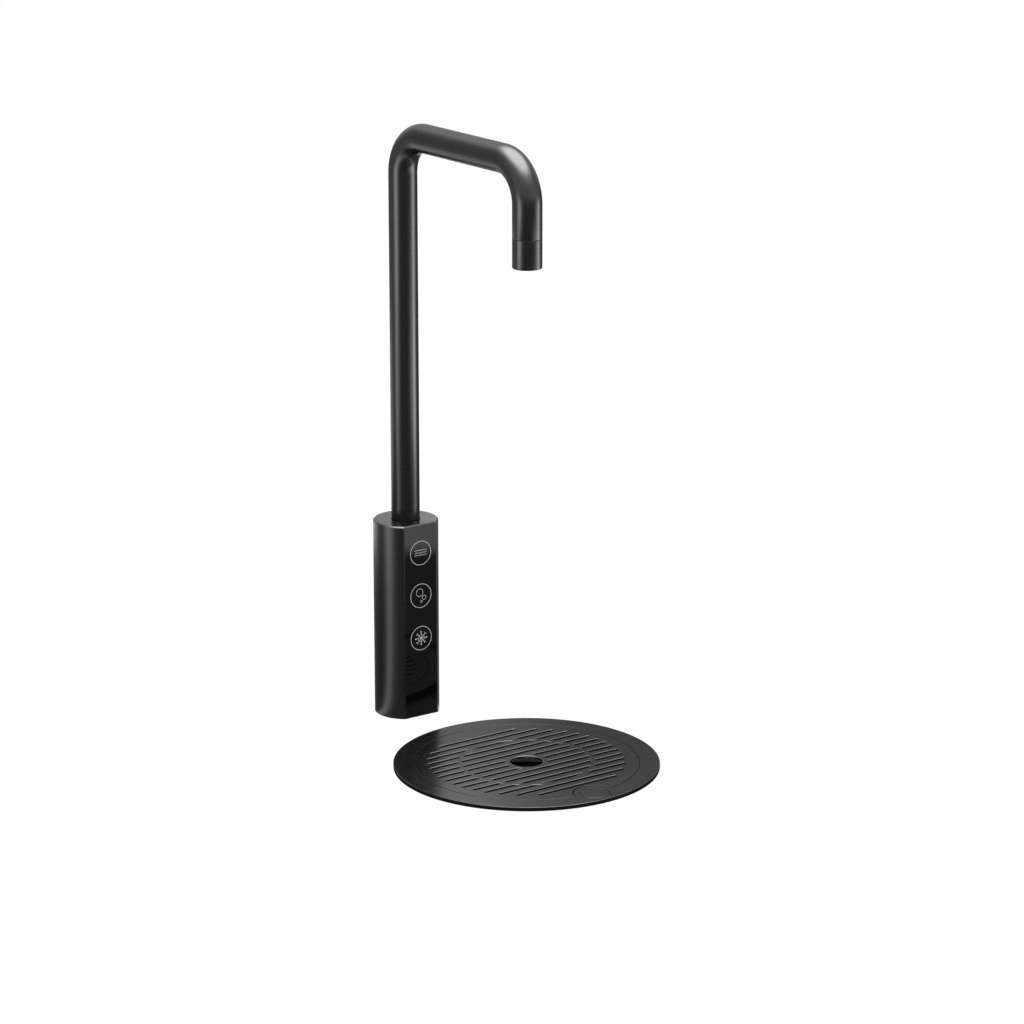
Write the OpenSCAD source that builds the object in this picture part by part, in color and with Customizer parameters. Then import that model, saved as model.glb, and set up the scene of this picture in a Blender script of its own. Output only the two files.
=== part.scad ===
// Worktop water tap: a D-section font with touch keys, a swivelling swan spout, and a sunk round drip tray.
// Millimetres. The origin is on the font's axis in the plane of the worktop. +Z is up, the keys, the outlet
// and the tray are towards -Y, and the whole is mirror-symmetric about X = 0.

/* [Font body] */
// Diameter of the round part of the font body
body_d = 50.5; // [49.5:0.5:60]
// Height of the font body above the worktop
body_h = 155.5; // [150:0.5:200]
// Distance from the axis to the flat front face
flat_y = 20.1; // [19.8:0.1:21.5]
// Wall of the body shell
shell_wall = 2.5; // [1.5:0.1:3]
// Thickness of the solid top of the body
top_t = 10; // [9:0.5:14]
// Radius of the two upright edges beside the flat
edge_r = 1.2; // [0.6:0.1:2]
// Chamfer round the top edge
top_chamfer = 0.8; // [0.3:0.1:1.5]
// Diameter of the grub screws that hold the shell
grub_d = 4; // [3:0.5:5]

/* [Touch panel] */
// Metal left beside the glass on the flat
panel_side = 1.28; // [1:0.01:2.5]
// Metal left above and below the glass
panel_edge = 1.2; // [0.8:0.1:4]
// Thickness of the glass
panel_t = 2; // [1.5:0.1:2.3]
// Thickness of the adhesive sheet behind the glass
adhesive_t = 0.3; // [0.2:0.05:0.4]
// Width of the ledge that the glass is stuck to
ledge_w = 3.5; // [2.5:0.1:4.5]
// Thickness of that ledge
ledge_t = 1.5; // [1:0.1:1.6]
// Depth of the highest key below the top of the body
key_drop = 23; // [20:0.5:30]
// Spacing of the three keys
key_pitch = 34.4; // [24:0.1:36]

/* [Touch board] */
// Thickness of the circuit board
board_t = 1.6; // [1:0.1:1.6]
// Length of board below the centre of the lowest key
board_tail = 24; // [22:0.5:28]
// Metal sensor pad thickness
pad_t = 0.1; // [0.05:0.05:0.2]
// Board left bare round each sensor pad
pad_margin = 1.2; // [0.5:0.1:3]
// Side of each key lamp
lamp_w = 1.6; // [1:0.1:3]
// Height of each key lamp above the board
lamp_h = 0.8; // [0.4:0.1:1]
// Side of the touch controller chip
chip_w = 7; // [5:0.5:9]
// Height of the chip above the board
chip_h = 1; // [0.5:0.1:1.2]
// Diameter of the signal wire
wire_d = 1.8; // [1.2:0.1:2]
// Radius of the wire's bends
wire_bend = 3.6; // [3:0.1:4]

/* [Spout] */
// Outer diameter of the spout tube
tube_d = 22; // [21:0.5:23.5]
// Wall of the spout tube
tube_wall = 1.5; // [1.2:0.1:1.6]
// Distance from the font's axis to the outlet's axis
reach = 160; // [150:1:190]
// Centre-line radius of both bends
bend_r = 30; // [25:1:34]
// Height of the outlet above the worktop
outlet_h = 380; // [320:1:450]
// Straight length of tube between the second bend and the nozzle
drop_l = 24; // [16:1:90]

/* [Nozzle] */
// Length of the nozzle sleeve that shows
nozzle_l = 22; // [18:1:30]
// Length of the spigot that pushes into the tube
nozzle_spigot = 12; // [8:1:14]
// Wall of the sleeve at the outlet
nozzle_wall = 2.1; // [1.5:0.1:2.6]
// Depth of the outlet disc inside the sleeve
outlet_recess = 1; // [0.5:0.1:3]
// Depth of the sockets that take the three tubes
outlet_socket = 5; // [3:0.5:7]
// Diameter of the three outlet holes
outlet_hole_d = 3.2; // [2:0.1:4]

/* [Swivel] */
// Swing of the spout to each side, in degrees
swivel_max = 25; // [10:1:40]
// Wall of the stem round the spout's foot
socket_wall = 1.5; // [1.2:0.1:2]
// Length of the foot below the tube
foot_l = 26; // [24:1:30]
// Length of the foot's spigot inside the tube
foot_spigot = 12; // [8:1:20]
// Length of tube held in the stem above the foot
socket_cover = 24; // [15:1:40]
// Thickness of the thrust washer under the foot
thrust_t = 2; // [1:0.5:3]
// Thickness of a cord of the two foot O-rings
foot_ring_d = 1.6; // [1.2:0.1:1.8]
// Thickness of the cord of the nozzle and inlet block O-rings
small_ring_d = 0.88; // [0.6:0.02:0.9]
// Diameter of the limit screw's tip
limit_tip_d = 4; // [3:0.5:4.5]
// Depth of the limit groove in the foot
limit_groove = 1.6; // [1:0.1:1.8]
// Wall of the upper bush
bush_wall = 2.5; // [1.5:0.1:4]
// Height of the upper bush
bush_h = 7; // [4:0.5:7.5]

/* [Worktop fixing] */
// Thickness of the worktop that the tap is shown clamped to
worktop_t = 30; // [20:1:45]
// Diameter of the threaded stem
stem_d = 26; // [25:0.5:28]
// Thickness of the base plate
base_t = 8; // [6:0.5:12]
// Width of the stem's flange beyond the thread
flange_w = 2.6; // [1.5:0.1:2.8]
// Thickness of the stem's flange
flange_t = 3; // [2:0.5:5]
// Width of the gasket ring in the base plate
gasket_w = 1.4; // [1:0.1:1.6]
// Thickness of that gasket and of the tray's
gasket_t = 1.2; // [0.8:0.1:1.2]
// Diameter of the two clamping washers
washer_d = 48; // [40:1:60]
// Thickness of the rubber washer
rubber_t = 3; // [2:0.5:5]
// Thickness of the steel washer
steel_t = 2; // [1:0.5:4]
// Width of the back nut across its flats
nut_af = 38; // [34:1:44]
// Height of the back nut
nut_h = 10; // [6:1:16]
// Thread left below the back nut
stem_tail = 15; // [8:1:30]

/* [Water lines] */
// Outer diameter of the three water lines
line_d = 6.35; // [6:0.05:6.5]
// Wall of a water line
line_wall = 1; // [0.8:0.05:1.5]
// Gap between two lines
line_gap = 1.4; // [1:0.1:1.6]
// Height of the inlet block below the stem
block_h = 28; // [26:1:40]
// Height of the block's spigot inside the stem
block_spigot = 8; // [6:0.5:12]
// Depth of each collet's seat
collet_seat = 7; // [5:0.5:9]
// Wall of a collet
collet_wall = 1; // [0.8:0.1:1.2]
// Height of the collet's rim below the block
collet_rim = 2; // [1:0.5:3]
// Length of each inlet bore above its collet
inlet_l = 10; // [8:0.5:12]
// Diameter of the passages inside the block
passage_d = 3.6; // [2:0.1:4]
// Diameter of the signal socket
socket_d = 5.2; // [4:0.1:5.4]

/* [Drip tray] */
// Outer diameter of the tray
tray_d = 200; // [180:1:240]
// Height of the rim above the worktop
rim_t = 3; // [2.6:0.1:5]
// Width of the fixed rim outside the grille
rim_w = 15; // [14:0.5:17]
// Rounding of the rim's upper edge
rim_round = 0.6; // [0.3:0.1:1.2]
// Thickness of the grille plate
plate_t = 2; // [1.5:0.1:2.5]
// Width of the ledge that carries the grille
tray_ledge = 7.5; // [7:0.1:9]
// Thickness of that ledge
tray_ledge_t = 1.5; // [1.2:0.1:2.5]
// Radius of the rim's lobe
lobe_r = 15.35; // [13:0.05:16]
// Diameter of the plain disc in the lobe
disc_d = 21.4; // [12:0.1:22]
// Thickness of that disc
disc_t = 1; // [0.6:0.1:1.2]
// Gap round the grille and round the disc
seam_gap = 0.4; // [0.2:0.05:0.6]
// Width of the rim's step that centres it in the worktop's hole
step_w = 1; // [0.5:0.5:2]
// Room between that step and the edge of the hole
hole_gap = 2; // [0.5:0.5:3]
// Distance from the rim's outer edge to the middle of its gasket
gasket_inset = 6.5; // [4.5:0.5:8]
// Width of the tray's gasket
tray_gasket_w = 3; // [2:0.1:4]

/* [Grille] */
// Spacing of the grille's slots
slot_pitch = 9.2; // [7:0.1:12]
// Width of a slot
slot_w = 3; // [2:0.1:4]
// Width of the plain grille between the slots and the ledge that carries it
field_margin = 3; // [1:0.5:15]
// Width of the plain grille between the slots and the rim's lobe
lobe_land = 3; // [1.5:0.5:3]
// Diameter of the unbroken ring in the field, at its middle
land_d = 100; // [80:0.5:110]
// Width of that ring
land_w = 3.5; // [2:0.1:6]
// Diameter of the solid middle of the grille
hub_d = 32.6; // [28:0.1:40]
// Diameter of the finger hole
finger_d = 24; // [20:0.5:26]

/* [Bowl] */
// Height of the bowl's upright wall
bowl_h = 22.5; // [15:0.5:30]
// Wall of the bowl
bowl_wall = 1.6; // [1.2:0.1:2]
// Fall of the floor from the wall to the drain
bowl_fall = 6.5; // [4:0.5:12]
// Slope between wall and floor, across and down
bowl_slope = 4; // [2:0.5:8]
// Height of the bowl's inward flange
bowl_flange = 3; // [2:0.5:5]
// Radius of the level floor round the drain
floor_r = 16; // [15.5:0.5:20]
// Diameter of the bowl screws
bowl_screw_d = 2.9; // [2.5:0.1:3.2]
// Length of the bowl screws below the ledge
bowl_screw_l = 5; // [3:0.5:8]

/* [Tray clamps] */
// Distance from a clamp's stud to the edge of the worktop's hole
stud_inset = 22; // [18:1:28]
// Diameter of a stud
stud_d = 5; // [4:0.5:6]
// Diameter of the pad that a stud is welded to
stud_pad_d = 10; // [9:0.5:11]
// Depth of that pad below the level of the worktop
stud_pad_z = 31; // [31:0.5:34]
// Stud left below its nut
stud_tail = 14; // [6:1:20]
// Width of a claw
claw_w = 14; // [12:1:20]
// Thickness of a claw
claw_t = 3; // [2:0.5:4]
// Reach of a claw beyond the worktop's hole
claw_reach = 9; // [6:0.5:12]
// Length of a claw's toe
claw_toe_l = 7; // [4:0.5:9]
// Least height of a claw's toe
toe_min = 1; // [0.5:0.5:3]
// Width of a claw nut across its flats
claw_nut_af = 8; // [7.5:0.5:12]
// Height of a claw nut
claw_nut_h = 4; // [3:0.5:6]

/* [Drain] */
// Diameter of the drain's thread
drain_d = 21; // [20:0.5:22]
// Diameter of the tail that the waste hose goes on
tail_d = 19; // [18:0.5:19.5]
// Length of that tail
tail_l = 20; // [15:1:40]
// Diameter of the drain's bore
drain_bore = 15; // [12:0.5:15.5]
// Diameter of the drain's flange
drain_flange_d = 30; // [28:0.5:30.5]
// Thickness of the drain's flange and of the strainer's skirt root
drain_flange_t = 1.5; // [1:0.1:2.5]
// Thickness of the drain's rubber seal
drain_seal_t = 2; // [1:0.5:3]
// Width of the drain nut across its flats
drain_nut_af = 32; // [28:1:36]
// Height of the drain nut
drain_nut_h = 8; // [5:1:12]
// Thread left below the drain nut
drain_tail = 6.5; // [3:0.5:12]
// Thickness of the strainer
strainer_t = 1; // [0.8:0.1:1.5]
// Depth of the strainer's skirt
strainer_skirt = 3.5; // [2:0.5:5]
// Diameter of the strainer's holes
strainer_hole_d = 2.6; // [1.5:0.1:3]

/* [Clearances] */
// Radial clearance of a piece that turns or slides in a round seat
run_gap = 0.06; // [0.02:0.01:0.1]
// Radial clearance of a round piece that is pushed or screwed into its seat
push_gap = 0.04; // [0.02:0.01:0.05]
// Radial clearance of the spout in the body's top, and of a thread in a plain hole
free_gap = 0.15; // [0.1:0.01:0.2]
// Clearance round flat pieces in their pockets
seat_gap = 0.15; // [0.1:0.01:0.25]
// Radial clearance of the water lines in their sockets
line_fit = 0.025; // [0.01:0.005:0.04]
// Room between the bundle of lines and what it passes through
bundle_gap = 0.3; // [0.2:0.05:0.35]
// Extra turn left at each end of the limit groove, in degrees
limit_slack = 1; // [0.5:0.5:3]

/* [Hidden] */
$fn = 96;
// cuts reach this far past the faces they open
over = 1;

// font body
body_r = body_d / 2;
cavity_r = body_r - shell_wall;
ledge_y = flat_y - panel_t - adhesive_t;
cavity_flat = ledge_y - ledge_t;
cavity_h = body_h - top_t;
half_chord = sqrt(body_r * body_r - flat_y * flat_y);
panel_w = 2 * (half_chord - panel_side);
window_w = panel_w - 2 * ledge_w;
window_z0 = base_t + 4;
window_z1 = cavity_h - 2.5;
grub_z = base_t / 2;
grub_spread = 40;
grub_reach = 3;
grub_sunk = 0.4;
hex_socket = 1.5;
key_z = [for (i = [0:2]) body_h - key_drop - i * key_pitch];

// touch board, from the adhesive sheet inwards
board_w = window_w - 2 * seat_gap;
board_front = ledge_y - pad_t;
board_back = board_front - board_t;
board_z0 = key_z[2] - board_tail;
board_z1 = window_z1 - seat_gap;
pad_d = board_w - 2 * pad_margin;
chip_z = (key_z[1] + key_z[2]) / 2;

// spout, swivel and water lines
tube_r = tube_d / 2;
tube_bore_r = tube_r - tube_wall;
swivel_r = tube_r + run_gap;
line_r = line_d / 2;
spout_h = outlet_h + nozzle_l + drop_l + bend_r;
bundle_r = hundredth((line_d + line_gap) / sqrt(3));
bundle_out = bundle_r + line_r;
foot_bore_r = bundle_out + bundle_gap;
tube_end = outlet_h + nozzle_l;
port_h = 7;
swivel_floor = base_t + flange_t + port_h;
foot_z = swivel_floor + thrust_t;
tube_foot = foot_z + foot_l;
socket_top = tube_foot + socket_cover;
limit_z = foot_z + foot_l / 2;
foot_ring_z = [foot_z + 4, foot_z + foot_l - 5];
limit_tip_r = limit_tip_d / 2;
limit_half = swivel_max + asin(limit_tip_r / (tube_r - limit_groove)) + limit_slack;
limit_screw_r = limit_tip_r + 0.45;
limit_boss_r = limit_screw_r + 2;
limit_boss_y = tube_r + 4.5;
limit_clear = 0.3;
socket_r = swivel_r + socket_wall;
bush_r = swivel_r + bush_wall;
bush_z = cavity_h;

// stem and worktop fixing
stem_r = stem_d / 2;
stem_bore_r = bundle_out + wire_d / 2 + 0.45;
flange_r = stem_r + flange_w;
gasket_r0 = stem_r + free_gap + 0.8;
washer_z = -worktop_t - rubber_t;
nut_z = washer_z - steel_t - nut_h;
stem_z = nut_z - stem_tail;

// signal wire: down behind the board, through the port, then down inside the stem
wire_r = wire_d / 2;
wire_in = stem_bore_r - wire_r - 1.2;
port_z = swivel_floor - port_h / 2 - 0.3;
port_r = wire_r + 1.2;
wire_out = max(socket_r + wire_r + 0.5, wire_in + 2 * wire_bend);
wire_tail = 3;
connector_w = 5;
connector_h = 6;
connector_z = board_z0 + 1.5;

// inlet block
block_r = stem_r - 0.2;
block_z = stem_z - block_h;
inlet_r = line_r + line_fit;
collet_bore_r = inlet_r + 0.1;
collet_r = collet_bore_r + collet_wall;
collet_grip_r = collet_r + 0.7;
collet_seat_r = collet_r + 0.1;
inlet_at = block_r - collet_seat_r - 0.6;
inlet_z = block_z + collet_seat;
line_foot = stem_z;
line_angles = [90, 210, 330];
line_at = [for (a = line_angles) [hundredth(bundle_r * cos(a)), hundredth(bundle_r * sin(a))]];
socket_seat_r = socket_d / 2 + push_gap;
socket_h = block_h - 6;
socket_wall_t = 0.7;
socket_bore_l = 8;

// nozzle
spigot_r = tube_bore_r - run_gap;
nozzle_bore_r = tube_r - nozzle_wall;
sleeve_shoulder = 6;
disc_top = tube_end - sleeve_shoulder;
line_end = disc_top - outlet_socket;
ring_depth = small_ring_d + 0.02;
nozzle_ring_z = tube_end + nozzle_spigot / 2;

// drip tray, whose centre lies under the outlet
seam_r = tray_d / 2 - rim_w;
plate_z = rim_t - plate_t;
ledge_r = seam_r - tray_ledge;
ledge_z = plate_z - tray_ledge_t;
step_r = seam_r + step_w;
cutout_r = step_r + hole_gap;
tray_gasket_r = tray_d / 2 - gasket_inset;
lobe_ledge = 3;
field_r = ledge_r - field_margin;
slot_rows = floor((field_r - slot_w / 2) / slot_pitch);
bowl_r = seam_r - 1.2;
bowl_in = bowl_r - bowl_wall;
flange_in = ledge_r + 0.3;
bowl_screw_at = flange_in + 2.6;
bowl_screw_n = 4;
bowl_screw_hole = 20;
csk_r = bowl_screw_d / 2 + 1.15;
corner_z = ledge_z - bowl_h;
floor_z = corner_z - bowl_slope - bowl_fall;
floor_top = floor_z + bowl_wall;
clamp_angles = [90, 210, 330];
worktop_low = -worktop_t;
claw_top = -max(worktop_t + toe_min, stud_pad_z);
claw_z = claw_top - claw_t;
claw_end = cutout_r + claw_reach;
stud_at = cutout_r - stud_inset;
drain_r = drain_d / 2;
drain_hole_r = drain_r + free_gap;
drain_seal_r = drain_flange_d / 2 + 2;
drain_seal_z = floor_z - drain_seal_t;
drain_nut_z = drain_seal_z - drain_nut_h;
drain_step_z = drain_nut_z - drain_tail;

// colours
black_paint = [0.10, 0.10, 0.10];
black_glass = [0.02, 0.02, 0.025];
brass = [0.78, 0.62, 0.34];
steel = [0.72, 0.73, 0.74];
rubber = [0.12, 0.12, 0.12];
white_plastic = [0.90, 0.90, 0.88];
grey_plastic = [0.45, 0.46, 0.47];
board_green = [0.05, 0.30, 0.16];

// A length rounded to a hundredth, so that the runs and the bends of a line meet exactly
function hundredth(x) = round(100 * x) / 100;

// ---- shared shapes ----

// A round washer or tube standing on z
module ring(r_out, r_in, z, h) {
  translate([0, 0, z]) linear_extrude(h) difference() {
    circle(r_out);
    circle(r_in);
  }
}

// A hexagonal nut with its corners turned off
module hex_nut(af, r_bore, z, h) {
  corner_turn = 1.09;
  translate([0, 0, z]) difference() {
    intersection() {
      cylinder(r = af / sqrt(3), h = h, $fn = 6);
      cylinder(r = af / 2 * corner_turn, h = h);
    }
    translate([0, 0, -over]) cylinder(r = r_bore, h = h + 2 * over);
  }
}

// An O-ring whose outside is at r_out
module o_ring(r_out, cord, z) {
  translate([0, 0, z]) rotate_extrude() translate([r_out - cord / 2, 0]) circle(cord / 2, $fn = 32);
}

// The D outline: a circle cut by the flat, with its two corners rounded
module d_outline(r, flat, corner) {
  cx = sqrt(pow(r - corner, 2) - pow(flat - corner, 2));
  cy = -(flat - corner);
  reach_out = (r + 2 * corner) / (r - corner);
  difference() {
    intersection() {
      circle(r);
      translate([-r, -flat]) square([2 * r, r + flat]);
    }
    for (s = [-1, 1])
      polygon([[s * cx, cy], [s * cx, -flat - corner], [s * cx * reach_out, cy * reach_out]]);
  }
  for (s = [-1, 1]) translate([s * cx, cy]) circle(corner);
}

// The plain D of the cavity and of what stands in it, drawn in by a clearance
module d_inner(gap) {
  intersection() {
    circle(cavity_r - gap);
    translate([-body_r, -cavity_flat + gap]) square([2 * body_r, 2 * body_r]);
  }
}

// A round section carried along the spout's route: side is along X, inward is towards the bends' centres
module along_spout(side, inward, z_low, z_end) {
  r = bend_r - inward;
  bend_z = spout_h - bend_r;
  translate([side, -inward, z_low]) linear_extrude(bend_z - z_low) children();
  translate([0, -bend_r, bend_z]) rotate([90, 0, 90])
    rotate_extrude(angle = 90) translate([r, side]) children();
  translate([side, -bend_r, spout_h - inward]) rotate([90, 0, 0])
    linear_extrude(reach - 2 * bend_r) children();
  translate([0, bend_r - reach, bend_z]) rotate([90, 0, 90]) rotate([0, 0, 90])
    rotate_extrude(angle = 90) translate([r, side]) children();
  translate([side, inward - reach, z_end]) linear_extrude(bend_z - z_end) children();
}

// ---- font ----

module body_block() {
  intersection() {
    linear_extrude(body_h) d_outline(body_r, flat_y, edge_r);
    union() {
      cylinder(r = body_r + over, h = body_h - top_chamfer);
      translate([0, 0, body_h - top_chamfer])
        cylinder(r1 = body_r, r2 = body_r - top_chamfer, h = top_chamfer);
    }
    translate([-body_r - over, 0, 0]) rotate([90, 0, 90]) linear_extrude(2 * (body_r + over))
      polygon([
        [-flat_y, 0], [body_r + over, 0], [body_r + over, body_h],
        [-flat_y + top_chamfer, body_h], [-flat_y, body_h - top_chamfer]
      ]);
  }
}

module font_body() {
  color(black_paint) difference() {
    body_block();
    translate([0, 0, -over]) linear_extrude(cavity_h + over) d_inner(0);
    translate([0, 0, cavity_h]) cylinder(r = tube_r + free_gap, h = top_t + over);
    translate([0, 0, cavity_h - over]) cylinder(r = bush_r + push_gap, h = bush_h + over);
    translate([-panel_w / 2, -flat_y - over, panel_edge])
      cube([panel_w, flat_y + over - ledge_y, body_h - 2 * panel_edge]);
    translate([-window_w / 2, -flat_y, window_z0])
      cube([window_w, flat_y - cavity_flat + over, window_z1 - window_z0]);
    for (s = [-1, 1]) rotate([0, 0, s * grub_spread]) translate([0, cavity_r - over, grub_z])
      rotate([-90, 0, 0]) cylinder(d = grub_d + 2 * push_gap, h = shell_wall + 2 * over);
  }
}

module touch_panel() {
  color(black_glass) translate([-panel_w / 2 + seat_gap, -flat_y, panel_edge + seat_gap])
    cube([panel_w - 2 * seat_gap, panel_t, body_h - 2 * panel_edge - 2 * seat_gap]);
}

module panel_adhesive() {
  inset = 2 * seat_gap;
  color(grey_plastic) translate([-panel_w / 2 + inset, -ledge_y - adhesive_t, panel_edge + inset])
    cube([panel_w - 2 * inset, adhesive_t, body_h - 2 * panel_edge - 2 * inset]);
}

module touch_board() {
  color(board_green) translate([-board_w / 2, -board_front, board_z0])
    cube([board_w, board_t, board_z1 - board_z0]);
}

module sensor_pads() {
  color(brass) for (z = key_z) translate([0, -board_front, z]) rotate([90, 0, 0])
    cylinder(d = pad_d, h = pad_t);
}

module key_lamps() {
  color(white_plastic) for (z = key_z)
    translate([-lamp_w / 2, -board_back, z - lamp_w / 2]) cube([lamp_w, lamp_h, lamp_w]);
}

module controller_chip() {
  color(black_glass) translate([-chip_w / 2, -board_back, chip_z - chip_w / 2])
    cube([chip_w, chip_h, chip_w]);
}

module board_connector() {
  cover = 0.3;
  depth = board_back - wire_out + wire_r + cover;
  color(white_plastic) difference() {
    translate([-connector_w / 2, -board_back, connector_z]) cube([connector_w, depth, connector_h]);
    translate([0, -wire_out, connector_z - over]) cylinder(r = wire_r + push_gap, h = wire_tail + over);
  }
}

module signal_wire() {
  low = port_z - wire_bend;
  color(grey_plastic) {
    translate([0, -wire_out, port_z + wire_bend])
      cylinder(r = wire_r, h = connector_z + wire_tail - port_z - wire_bend);
    translate([0, wire_bend - wire_out, port_z + wire_bend]) rotate([90, 0, 90]) rotate([0, 0, 180])
      rotate_extrude(angle = 90) translate([wire_bend, 0]) circle(wire_r);
    translate([0, -wire_in - wire_bend, port_z]) rotate([90, 0, 0])
      cylinder(r = wire_r, h = wire_out - wire_in - 2 * wire_bend + 0.01);
    translate([0, -wire_in - wire_bend, low]) rotate([90, 0, 90])
      rotate_extrude(angle = 90) translate([wire_bend, 0]) circle(wire_r);
    translate([0, -wire_in, block_z + socket_h]) cylinder(r = wire_r, h = low - block_z - socket_h);
  }
}

module signal_socket() {
  color(steel) translate([0, -wire_in, block_z]) difference() {
    cylinder(d = socket_d, h = socket_h);
    translate([0, 0, -over]) cylinder(r = socket_d / 2 - socket_wall_t, h = socket_bore_l + over);
  }
}

module body_grub_screws() {
  l = shell_wall + grub_reach;
  color(steel) for (s = [-1, 1]) rotate([0, 0, s * grub_spread])
    translate([0, body_r - grub_sunk - l, grub_z]) rotate([-90, 0, 0]) difference() {
      cylinder(d = grub_d, h = l);
      translate([0, 0, l - hex_socket]) cylinder(r = grub_d / 4, h = hex_socket + over, $fn = 6);
    }
}

module upper_bush() {
  color(white_plastic) ring(bush_r, swivel_r, bush_z, bush_h);
}

module font_stem() {
  color(brass) difference() {
    union() {
      rotate_extrude() polygon([
        [stem_bore_r, stem_z], [stem_r, stem_z], [stem_r, base_t], [flange_r, base_t],
        [flange_r, base_t + flange_t], [socket_r, base_t + flange_t], [socket_r, socket_top],
        [swivel_r, socket_top], [swivel_r, swivel_floor], [stem_bore_r, swivel_floor]
      ]);
      difference() {
        translate([0, 0, limit_z]) rotate([-90, 0, 0]) cylinder(r = limit_boss_r, h = limit_boss_y);
        cylinder(r = swivel_r, h = socket_top);
      }
    }
    translate([0, 0, limit_z]) rotate([-90, 0, 0])
      cylinder(r = limit_screw_r + push_gap, h = limit_boss_y + over);
    translate([0, 0, port_z]) rotate([90, 0, 0]) cylinder(r = port_r, h = flange_r);
  }
}

module limit_screw() {
  tip_y = tube_r - limit_groove + limit_clear;
  thread_y = swivel_r + limit_clear;
  color(steel) translate([0, 0, limit_z]) rotate([-90, 0, 0]) difference() {
    union() {
      translate([0, 0, tip_y]) cylinder(r = limit_tip_r, h = limit_boss_y - tip_y);
      translate([0, 0, thread_y]) cylinder(r = limit_screw_r, h = limit_boss_y - thread_y);
    }
    translate([0, 0, limit_boss_y - hex_socket])
      cylinder(r = limit_tip_r * 0.6, h = hex_socket + over, $fn = 6);
  }
}

module thrust_washer() {
  color(white_plastic) ring(swivel_r - run_gap, foot_bore_r, swivel_floor, thrust_t);
}

module base_plate() {
  color(steel) difference() {
    linear_extrude(base_t) difference() {
      d_inner(seat_gap);
      circle(stem_r + free_gap);
    }
    ring(gasket_r0 + gasket_w, gasket_r0, -over, gasket_t + over);
    for (s = [-1, 1]) rotate([0, 0, s * grub_spread])
      translate([0, cavity_r - grub_reach - over, grub_z]) rotate([-90, 0, 0])
        cylinder(d = grub_d + 2 * push_gap, h = grub_reach + 2 * over);
  }
}

module deck_gasket() {
  color(rubber) ring(gasket_r0 + gasket_w, gasket_r0, 0, gasket_t);
}

module rubber_washer() {
  color(rubber) ring(washer_d / 2, stem_r + free_gap, washer_z, rubber_t);
}

module steel_washer() {
  color(steel) ring(washer_d / 2, stem_r + free_gap, washer_z - steel_t, steel_t);
}

module back_nut() {
  color(brass) hex_nut(nut_af, stem_r + push_gap, nut_z, nut_h);
}

// ---- water lines ----

module line_lower(i) {
  color(white_plastic) translate([line_at[i][0], line_at[i][1], 0])
    ring(line_r, line_r - line_wall, line_foot, foot_z - line_foot);
}

module line_upper(i) {
  color(white_plastic) along_spout(line_at[i][0], -line_at[i][1], foot_z, line_end) difference() {
    circle(line_r, $fn = 48);
    circle(line_r - line_wall, $fn = 48);
  }
}

module still_line_lower() line_lower(0);
module sparkling_line_lower() line_lower(1);
module chilled_line_lower() line_lower(2);
module still_line_upper() line_upper(0);
module sparkling_line_upper() line_upper(1);
module chilled_line_upper() line_upper(2);

// One inlet's way through the block: upper socket, slanting passage, lower bore and collet seat
module inlet_way() {
  passage_top = stem_z + over;
  passage_low = inlet_z + inlet_l - over;
  slant = atan2(inlet_at - bundle_r, passage_top - passage_low);
  translate([bundle_r, 0, stem_z]) cylinder(r = inlet_r, h = block_spigot + over);
  translate([inlet_at, 0, passage_low]) rotate([0, -slant, 0])
    cylinder(d = passage_d, h = (passage_top - passage_low) / cos(slant));
  translate([inlet_at, 0, inlet_z]) cylinder(r = inlet_r, h = inlet_l);
  translate([inlet_at, 0, block_z - over]) cylinder(r = collet_seat_r, h = collet_seat + over);
}

module inlet_block() {
  seal_r = stem_bore_r - push_gap;
  color(grey_plastic) difference() {
    union() {
      translate([0, 0, block_z]) cylinder(r = block_r, h = block_h);
      translate([0, 0, stem_z]) cylinder(r = seal_r, h = block_spigot);
    }
    ring(seal_r + over, seal_r - ring_depth, stem_z + block_spigot / 2 - ring_depth / 2, ring_depth);
    for (a = line_angles) rotate([0, 0, a]) inlet_way();
    translate([0, -wire_in, block_z + over]) cylinder(r = wire_r + push_gap, h = block_h + block_spigot);
    translate([0, -wire_in, block_z - over]) cylinder(r = socket_seat_r, h = socket_h + over);
  }
}

module inlet_block_seal() {
  color(rubber) o_ring(stem_bore_r - push_gap, small_ring_d, stem_z + block_spigot / 2);
}

module inlet_collets() {
  color(white_plastic) for (a = line_angles) rotate([0, 0, a]) translate([inlet_at, 0, 0]) {
    ring(collet_r, collet_bore_r, block_z, collet_seat - 1);
    ring(collet_grip_r, collet_bore_r, block_z - collet_rim, collet_rim);
  }
}

// ---- spout ----

module spout_tube() {
  color(black_paint) along_spout(0, 0, tube_foot, tube_end) difference() {
    circle(tube_r);
    circle(tube_bore_r);
  }
}

module spout_foot() {
  groove_w = foot_ring_d + 0.4;
  slot_h = limit_tip_d + 0.6;
  color(brass) difference() {
    union() {
      ring(tube_r, foot_bore_r, foot_z, foot_l);
      ring(tube_bore_r - push_gap, foot_bore_r, foot_z, foot_l + foot_spigot);
    }
    for (z = foot_ring_z) ring(tube_r + over, tube_r - foot_ring_d, z - groove_w / 2, groove_w);
    rotate([0, 0, 90 - limit_half]) translate([0, 0, limit_z - slot_h / 2])
      rotate_extrude(angle = 2 * limit_half)
        translate([tube_r - limit_groove, 0]) square([limit_groove + over, slot_h]);
  }
}

module foot_o_rings() {
  color(rubber) for (z = foot_ring_z) o_ring(tube_r, foot_ring_d, z);
}

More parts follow.
